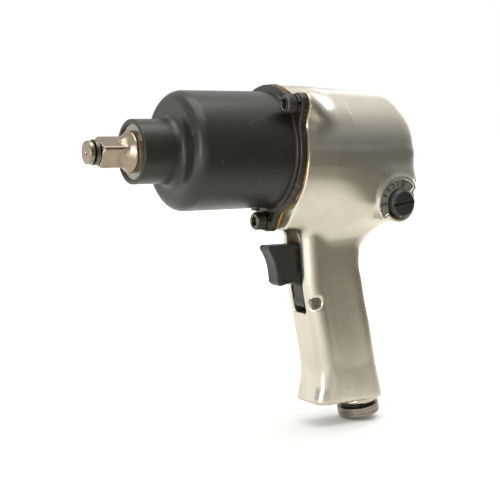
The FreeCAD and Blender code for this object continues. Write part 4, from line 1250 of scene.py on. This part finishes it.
@dataclass
class Anvil:
    """Half-inch square drive with its button end, ring groove, flare, journal and striking lobes."""
    tip_at: float = -18.4
    button_at: float = -15.4
    square_end: float = -12.2
    flats_half: float = 6.35
    corner_radius: float = 8.35
    square_turn: float = 29.0
    flare_at: float = 5.6
    journal: float = 11.0
    journal_end: float = 48.4
    button_radius: float = 6.2
    neck_radius: float = 4.5
    collar_radius: float = 13.4
    core_radius: float = 9.5
    pilot_radius: float = 5.0
    lobe_radius: float = 12.6
    lobe_half: float = 3.5

    def shape(self, x: Array, y: Array, z: Array) -> Array:
        """Button, neck, square with turned corners, flare cone, journal, collar, lobes and pilot.

        Args:
            x, y, z: positions.
        Returns:
            Distances, negative inside.
        """
        spindle = np.hypot(x, z)
        button = round_and(spindle - self.button_radius, slab(y, self.tip_at, self.button_at), 0.7)
        dimple = np.hypot(spindle, (y - self.tip_at) * 1.5) - 1.3
        button = blend_cut(button, dimple, 0.4)
        core = np.maximum(spindle - self.neck_radius, slab(y, self.button_at - 1, 4))
        turn = np.radians(self.square_turn)
        across, up = x * np.cos(turn) - z * np.sin(turn), x * np.sin(turn) + z * np.cos(turn)
        square = round_and(np.abs(across) - self.flats_half, np.abs(up) - self.flats_half, 0.5)
        square = round_and(square, spindle - self.corner_radius, 0.4)
        square = np.maximum(square, (spindle - 6.9 - (y - self.square_end) * 1.1) * 0.67)
        square = round_and(square, slab(y, self.square_end, 4.0), 0.3)
        cone = 7.2 + 0.48 * y + 0.055 * y * y
        flare = (spindle - np.clip(cone, 7.0, self.journal)) * 0.85
        flare = np.maximum(flare, slab(y, -0.4, self.flare_at + 1))
        journal = np.maximum(spindle - self.journal, slab(y, self.flare_at, self.journal_end))
        journal = np.minimum(journal, np.maximum(spindle - self.collar_radius, slab(y, 38, 41.4)))
        core_rear = np.maximum(spindle - self.core_radius, slab(y, 48, 83.6))
        pilot = np.maximum(spindle - self.pilot_radius, slab(y, 83, 86))
        lobes = np.maximum(slab(z, -self.lobe_half, self.lobe_half), spindle - self.lobe_radius)
        lobes = np.maximum(lobes, np.minimum(
            np.maximum(slab(y, 50.1, 63.9), -x), np.maximum(slab(y, 68.1, 81.9), x)))
        front = blend_union(blend_union(square, flare, 0.8), np.minimum(button, core), 0.3)
        rear = np.minimum(np.minimum(journal, core_rear), np.minimum(pilot, lobes))
        return np.minimum(blend_union(front, journal, 0.5), rear)

    def build(self, dresser: Dresser) -> list[bpy.types.Object]:
        """Make and dress the anvil.

        Args:
            dresser: what dresses the pieces.
        Returns:
            The pieces.
        """
        across = steps((-14.2, 1.2), (-11.4, 0.33), (11.4, 1.2), (14.2, 1))
        grid = (across, steps((-19.2, 0.3), (9, 1.4), (88, 1)), across)
        anvil = make_piece("anvil_drive", *net(self.shape, grid))
        return [dresser.settle(anvil, ANVIL_STEEL, Rider.ANVIL, "anvil")]


@dataclass
class Trigger:
    """The hooked lever trigger."""
    half: float = 5.2
    hub_radius: float = 3.6
    pin_hole: float = 2.07
    outline: Profile = (
        (89.2, -53.4), (87.9, -54.3), (88.0, -56.0), (89.6, -58.3), (91.0, -60.8), (92.2, -63.8),
        (93.1, -67.4), (93.7, -71.2), (94.0, -75.0), (96.2, -76.8), (103.6, -75.4), (110.3, -77.5),
        (112.9, -89.3), (117.7, -89.3), (118.1, -82.1), (112.0, -70.0), (112.0, -55.0), (110.5, -53.4),
    )
    hollow: Profile = (
        (98.6, -73.4), (100.2, -60.5), (101.5, -57.0), (111.0, -57.0), (111.0, -68.5), (104.4, -73.2),
    )

    def shape(self, x: Array, y: Array, z: Array) -> Array:
        """The outline carried across with rounded edges, a hollow in each side and the pin's hole.

        The front face is dished: its outline is read a little further back near the middle.

        Args:
            x, y, z: positions.
        Returns:
            Distances, negative inside.
        """
        dish = 0.5 * (1 - (x / self.half) ** 2) * ease((97 - y) / 8)
        lever = polygon_distance(y - dish, z, self.outline)
        hub = np.hypot(y - TRIGGER_PIVOT[0], z - TRIGGER_PIVOT[1])
        lever = blend_union(lever, hub - self.hub_radius, 1.0)
        solid = round_and(lever, np.abs(x) - self.half, 1.1)
        side = polygon_distance(y, z, self.hollow) - 0.6
        pocket = np.maximum(side, self.half - 0.9 - np.abs(x) - np.clip((y - 100) * 0.03, 0, 0.4))
        solid = blend_cut(solid, pocket, 0.8)
        return blend_cut(solid, hub - self.pin_hole, 0.3)

    def build(self, dresser: Dresser) -> list[bpy.types.Object]:
        """Make and dress the trigger.

        Args:
            dresser: what dresses the pieces.
        Returns:
            The pieces.
        """
        grid = (
            steps((-5.8, 0.36), (5.8, 1)), steps((86.8, 0.36), (120, 1)), steps((-92, 0.36), (-52.6, 1)),
        )
        trigger = make_piece("trigger_lever", *net(self.shape, grid))
        return [dresser.settle(trigger, TRIGGER_BLACK, Rider.TRIGGER, "trigger")]


@dataclass
class Regulator:
    """The regulator's slotted knob, its dial and the numbers round it."""
    radius: float = 8.2
    back: float = 35.2
    face: float = 39.2
    slot_half: float = 0.75
    slot_depth: float = 1.5
    slot_turn: float = 8.0
    flutes: int = 36
    flute_depth: float = 0.07
    number_radius: float = 10.7
    number_height: float = 4.7
    dial_back: float = 32.95
    dial_face: float = 34.5
    dial_hole: float = 7.9
    numbers: tuple[tuple[str, float, float], ...] = (
        ("0", 76, 1.0), ("1", 97, 0.75), ("2", 116, 0.75), ("3", 136, 0.75), ("4", 157, 0.75),
        ("5", 181, 1.0),
    )

    def shape(self, x: Array, y: Array, z: Array) -> Array:
        """A disc with a bevelled rim, fine flutes and a driver slot that narrows inward.

        Args:
            x, y, z: positions.
        Returns:
            Distances, negative inside.
        """
        along, up = y - DIAL.centre[0], z - DIAL.centre[1]
        reach = np.hypot(along, up)
        flutes = self.flute_depth * np.cos(self.flutes * np.arctan2(up, along))
        flutes = flutes * ease((self.face - 1.0 - x) / 0.8)
        rim = reach - self.radius + self.flute_depth + flutes
        disc = round_and(rim, slab(x, self.back, self.face), 0.5)
        bevel = (reach - self.radius + 1.5 - (self.face - x) * 1.1) * 0.67
        disc = np.maximum(disc, bevel)
        turn = np.radians(self.slot_turn)
        across = -along * np.sin(turn) + up * np.cos(turn)
        length = np.abs(along * np.cos(turn) + up * np.sin(turn)) - (self.radius - 1.1)
        slot = np.abs(across) - self.slot_half - 0.25 * (x - self.face)
        slot = np.maximum(slot, self.face - self.slot_depth - x)
        return blend_cut(disc, np.maximum(slot, length), 0.25)

    def knob(self, dresser: Dresser) -> bpy.types.Object:
        """Make and dress the knob."""
        grid = (steps((34.8, 0.22), (39.7, 1)), *DIAL.square_grid(8.8, 0.24))
        knob = make_piece("regulator_slotted_knob", *net(self.shape, grid))
        return dresser.settle(knob, KNOB_BLACK, Rider.REGULATOR, "regulator_knob")

    def plate(self, dresser: Dresser) -> bpy.types.Object:
        """Make and dress the dial: a flat plate in the cut circle's outline, open under the knob.

        Args:
            dresser: what dresses it.
        Returns:
            The dial.
        """
        def shape(x: Array, y: Array, z: Array) -> Array:
            """Distance from the plate, rounded on its rim, with the hole cut out."""
            outline = DIAL.distance(y, z, DIAL.radius, DIAL.chord)
            plate = round_and(outline, slab(x, self.dial_back, self.dial_face), 0.25)
            return np.maximum(plate, self.dial_hole - DIAL.reach(y, z))

        grid = (steps((32.6, 0.3), (34.9, 1)), *DIAL.square_grid(13.8, 0.34))
        plate = make_piece("regulator_dial_plate", *net(shape, grid))
        return dresser.settle(plate, DIAL_GREY, Rider.HOUSING, "regulator_dial")

    def figures(self, dresser: Dresser) -> bpy.types.Object:
        """Stamp the numbers 0 to 5 round the dial, their tops outward, as one thin inked piece.

        Args:
            dresser: what dresses them.
        Returns:
            The joined numbers.
        """
        parts = []
        facing = Matrix.Rotation(np.radians(90), 4, "Z") @ Matrix.Rotation(np.radians(90), 4, "X")
        for text, angle, size in self.numbers:
            curve = bpy.data.curves.new(f"number_{text}", "FONT")
            curve.body, curve.align_x, curve.align_y = text, "CENTER", "CENTER"
            curve.size = self.number_height * size * MM
            curve.extrude, curve.offset = 0.05 * MM, 0.11 * MM
            carrier = bpy.data.objects.new(f"number_{text}", curve)
            mesh = bpy.data.meshes.new_from_object(carrier)
            bpy.data.objects.remove(carrier)
            outward = np.radians(angle)
            spin = Matrix.Rotation(outward - np.radians(90), 4, "X")
            place = Matrix.Translation((
                (self.dial_face + 0.04) * MM,
                (DIAL.centre[0] + self.number_radius * np.cos(outward)) * MM,
                (DIAL.centre[1] + self.number_radius * np.sin(outward)) * MM,
            ))
            mesh.transform(place @ spin @ facing)
            parts.append(mesh)
        joined = join_meshes("dial_numbers", parts)
        return dresser.settle(joined, DIAL_INK, Rider.HOUSING)

    def build(self, dresser: Dresser) -> list[bpy.types.Object]:
        """Make the knob, the dial and its numbers, in that order."""
        return [self.knob(dresser), self.plate(dresser), self.figures(dresser)]


def join_meshes(name: str, parts: Sequence[bpy.types.Mesh]) -> bpy.types.Object:
    """One object that holds copies of several meshes.

    Args:
        name: the object's name.
        parts: the meshes, with their places applied.
    Returns:
        The linked object.
    """
    work = bmesh.new()
    for part in parts:
        work.from_mesh(part)
    bmesh.ops.recalc_face_normals(work, faces=work.faces)
    mesh = bpy.data.meshes.new(name)
    work.to_mesh(mesh)
    work.free()
    piece = bpy.data.objects.new(name, mesh)
    bpy.context.scene.collection.objects.link(piece)
    return piece


@dataclass
class AirInlet:
    """The threaded steel inlet ring at the foot of the handle."""
    ring: float = 12.4
    body: float = 10.36
    bore: float = 6.62
    neck: float = 8.85
    pitch: float = 1.4
    thread_depth: float = 0.56
    nicks: int = 40

    def build(self, dresser: Dresser) -> list[bpy.types.Object]:
        """Make the ring: a rounded profile with two shallow grooves round its rim and a threaded bore.

        The bore's radius swings with the cosine of the station over the thread's pitch, and the rim's
        is nicked by a high power of the cosine of the nicks' count times the angle.

        Args:
            dresser: what dresses the pieces.
        Returns:
            The pieces.
        """
        ring, bore, body, neck = self.ring, self.bore, self.body, self.neck
        outer = [
            (bore + 1.0, 10.45, 0.3), (ring - 0.9, 10.45, 0.5), (ring, 9.5, 0.3),
            (ring, 8.5, 0.1), (ring - 0.45, 8.3, 0.1), (ring - 0.45, 7.9, 0.1), (ring, 7.7, 0.1),
            (ring, 6.3, 0.1), (ring - 0.35, 6.1, 0.1), (ring - 0.35, 5.7, 0.1), (ring, 5.5, 0.1),
            (ring, 4.5, 0.3), (neck, 4.4, 0.2), (neck, 2.2, 0.2), (body, 2.2, 0.2),
            (body, -15.0, 0.3), (bore, -15.0, 0.2),
        ]
        start, end = -14.6, 9.4
        station = np.linspace(start, end, 140)
        thread = bore + self.thread_depth / 2 * (1 - np.cos((station - start) * 2 * np.pi / self.pitch))
        profile = softened(outer, 3) + list(zip(thread, station))
        points, faces = lathe(profile, 120)
        angle = np.arctan2(points[:, 2], points[:, 0])
        rim = ease((np.hypot(points[:, 0], points[:, 2]) - ring + 0.25) / 0.2)
        rim = rim * ease((points[:, 1] - 6.2) / 0.3)
        dent = 1 - 0.012 * rim * np.maximum(np.cos(self.nicks * angle), 0) ** 4
        points = points * np.stack([dent, np.ones_like(dent), dent], axis=1)
        inlet = make_piece("air_inlet_ring", PASSAGE.stand(points), faces, merge=True)
        return [dresser.settle(inlet, INLET_STEEL, Rider.HOUSING, "air_inlet_bushing")]


# ---------------------------------------------------------------- stage

@dataclass
class Studio:
    """Pale floor, soft lights, a graded surround and the camera."""
    floor_at: float = -0.1602
    middle: tuple[float, float, float] = (0.0, 0.08, -0.03)
    location: tuple[float, float, float] = (0.54414, -0.25372, 0.00954)
    right: tuple[float, float, float] = (0.522258, 0.852765, -0.006187)
    up: tuple[float, float, float] = (-0.083221, 0.058185, 0.994831)
    back: tuple[float, float, float] = (0.848717, -0.519043, 0.101355)
    lens: float = 82.9
    dim_side: tuple[float, float, float] = (0.853, 0.522, 0.0)
    bright_side: tuple[float, float, float] = (0.50, -0.866, 0.0)
    warm_white: tuple[float, float, float, float] = (1, 0.985, 0.95, 1)
    white: tuple[float, float, float, float] = (1, 1, 1, 1)

    def floor(self) -> None:
        """A wide flat floor of pale paper that fades to white with distance.

        What the camera sees is matt paper plus a glow that grows with the distance from the tool, so
        only the soft shade under it is left. Other rays meet paper painted darker towards the dim side,
        a painted shade that only reflections and bounce light see, plus a painted glow at the front
        corner that stands in for a bright lit panel there, though no lamp is there.
        """
        mesh = bpy.data.meshes.new("floor")
        reach = 30.0
        corners = ((-reach, -reach), (reach, -reach), (reach, reach), (-reach, reach))
        mesh.from_pydata([(x, y, self.floor_at) for x, y in corners], [], [(0, 1, 2, 3)])
        floor = bpy.data.objects.new("floor", mesh)
        bpy.context.scene.collection.objects.link(floor)
        paint = bpy.data.materials.new("floor_paper")
        paint.use_nodes = True
        paint.node_tree.nodes.clear()
        graph = Graph(paint.node_tree)
        place = graph.add("ShaderNodeTexCoord").outputs["Object"]
        away = graph.vector("DISTANCE", place, (0.0, 0.08, self.floor_at))
        glow = graph.remap(away.outputs["Value"], 0.10, 0.55, 0.04, 1.0)
        mottle = graph.mix(graph.noise(place, 4.0, 2.0), (0.93, 0.93, 0.92, 1), (0.96, 0.96, 0.955, 1))
        paper = graph.add("ShaderNodeBsdfDiffuse", {"Color": mottle}).outputs[0]
        lit = graph.add("ShaderNodeEmission", {"Color": self.white, "Strength": glow}).outputs[0]
        seen = graph.add("ShaderNodeAddShader", {0: paper, 1: lit}).outputs[0]
        # Painted shade: for reflections and bounce light the paper is coloured darker towards the dim side.
        aside = graph.vector("DOT_PRODUCT", place, self.dim_side)
        dim = graph.mix(graph.remap(aside.outputs["Value"], 0.06, 0.46), (0.90, 0.885, 0.84, 1),
                        (0.17, 0.16, 0.13, 1))
        # Painted glow: the paper gives off light towards the front corner, seen only by reflections and
        # bounce light.
        ahead = graph.vector("DOT_PRODUCT", place, self.bright_side)
        power = graph.remap(ahead.outputs["Value"], 0.24, 0.5, 0.0, 1.1)
        painted_card_glow = graph.add("ShaderNodeEmission", {"Color": self.warm_white, "Strength": power}).outputs[0]
        dull = graph.add("ShaderNodeBsdfDiffuse", {"Color": dim}).outputs[0]
        unseen = graph.add("ShaderNodeAddShader", {0: dull, 1: painted_card_glow}).outputs[0]
        is_seen = graph.add("ShaderNodeLightPath").outputs["Is Camera Ray"]
        both = graph.add("ShaderNodeMixShader", {0: is_seen, 1: unseen, 2: seen}).outputs[0]
        graph.add("ShaderNodeOutputMaterial", {"Surface": both})
        mesh.materials.append(paint)

    def lamp(self, name: str, at: tuple[float, float, float], size: tuple[float, float],
             power: float) -> None:
        """An oblong area light that faces the tool's middle.

        Args:
            name: the lamp's name.
            at: where it stands, in metres.
            size: its width and height, in metres.
            power: its power in watts.
        """
        light = bpy.data.lights.new(name, "AREA")
        light.shape, light.size, light.size_y = "RECTANGLE", *size
        light.energy = power
        lamp = bpy.data.objects.new(name, light)
        forward = Vector(at) - Vector(self.middle)
        lamp.location = at
        lamp.rotation_euler = forward.to_track_quat("Z", "Y").to_euler()
        bpy.context.scene.collection.objects.link(lamp)

    def lights(self) -> None:
        """A large overhead light, two softboxes at the front corner, one behind and a far front fill."""
        self.lamp("overhead", (0.1, 0.05, 1.5), (1.5, 1.5), 19)
        self.lamp("front_corner", (0.84, -1.30, 0.30), (0.55, 0.95), 5)
        self.lamp("low_corner", (0.80, -1.30, 0.06), (0.36, 0.40), 2.2)
        self.lamp("behind", (-0.75, 1.35, 0.4), (0.9, 0.9), 5)
        self.lamp("far_front", (-1.3, -0.9, 0.25), (0.7, 0.8), 1.5)

    def surround(self) -> None:
        """White where the camera looks past the tool; elsewhere paler upward and dimmer to one side."""
        world = bpy.data.worlds.new("surround")
        bpy.context.scene.world = world
        world.use_nodes = True
        tree = world.node_tree
        tree.nodes.clear()
        graph = Graph(tree)
        direction = graph.add("ShaderNodeTexCoord").outputs["Generated"]
        height = graph.add("ShaderNodeSeparateXYZ", {0: direction}).outputs["Z"]
        sideways = graph.vector("DOT_PRODUCT", direction, self.dim_side)
        shade = graph.remap(sideways.outputs["Value"], 0.3, 0.95, 1.0, 0.4)
        level = graph.math("MULTIPLY", graph.remap(height, -0.05, 0.55, 0.34, 0.88), shade)
        seen = graph.add("ShaderNodeLightPath").outputs["Is Camera Ray"]
        graded = graph.add("ShaderNodeBackground", {"Color": self.warm_white, "Strength": level}).outputs[0]
        white = graph.add("ShaderNodeBackground", {"Color": self.white, "Strength": 1.0}).outputs[0]
        both = graph.add("ShaderNodeMixShader", {0: seen, 1: graded, 2: white}).outputs[0]
        graph.add("ShaderNodeOutputWorld", {"Surface": both})

    def camera(self) -> None:
        """The camera, from its place and its three axes."""
        view = bpy.data.cameras.new("view")
        view.lens, view.sensor_width = self.lens, 36.0
        view.clip_start, view.clip_end = 0.01, 100.0
        camera = bpy.data.objects.new("view", view)
        columns = np.array([self.right, self.up, self.back, self.location]).T
        camera.matrix_world = Matrix([*columns, (0, 0, 0, 1)])
        bpy.context.scene.collection.objects.link(camera)
        bpy.context.scene.camera = camera

    def build(self) -> None:
        """Set the whole stage."""
        self.floor()
        self.lights()
        self.surround()
        self.camera()
        bpy.context.scene.view_settings.view_transform = "Standard"


def main() -> None:
    """Build every sub-assembly in order and report each piece."""
    logging.basicConfig(level=logging.INFO, format="%(name)s: %(message)s")
    dresser = Dresser()
    for node, finish in NODE_FINISHES.items():
        dresser.dress(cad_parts[node], finish)
    assemblies = (MotorHousing(), HammerCase(), CaseScrews(), Anvil(), Trigger(), Regulator(), AirInlet())
    for assembly in assemblies:
        for piece in assembly.build(dresser):
            LOG.info("%s: %d faces", piece.name, len(piece.data.polygons))
    Studio().build()


if __name__ == "__main__":
    main()
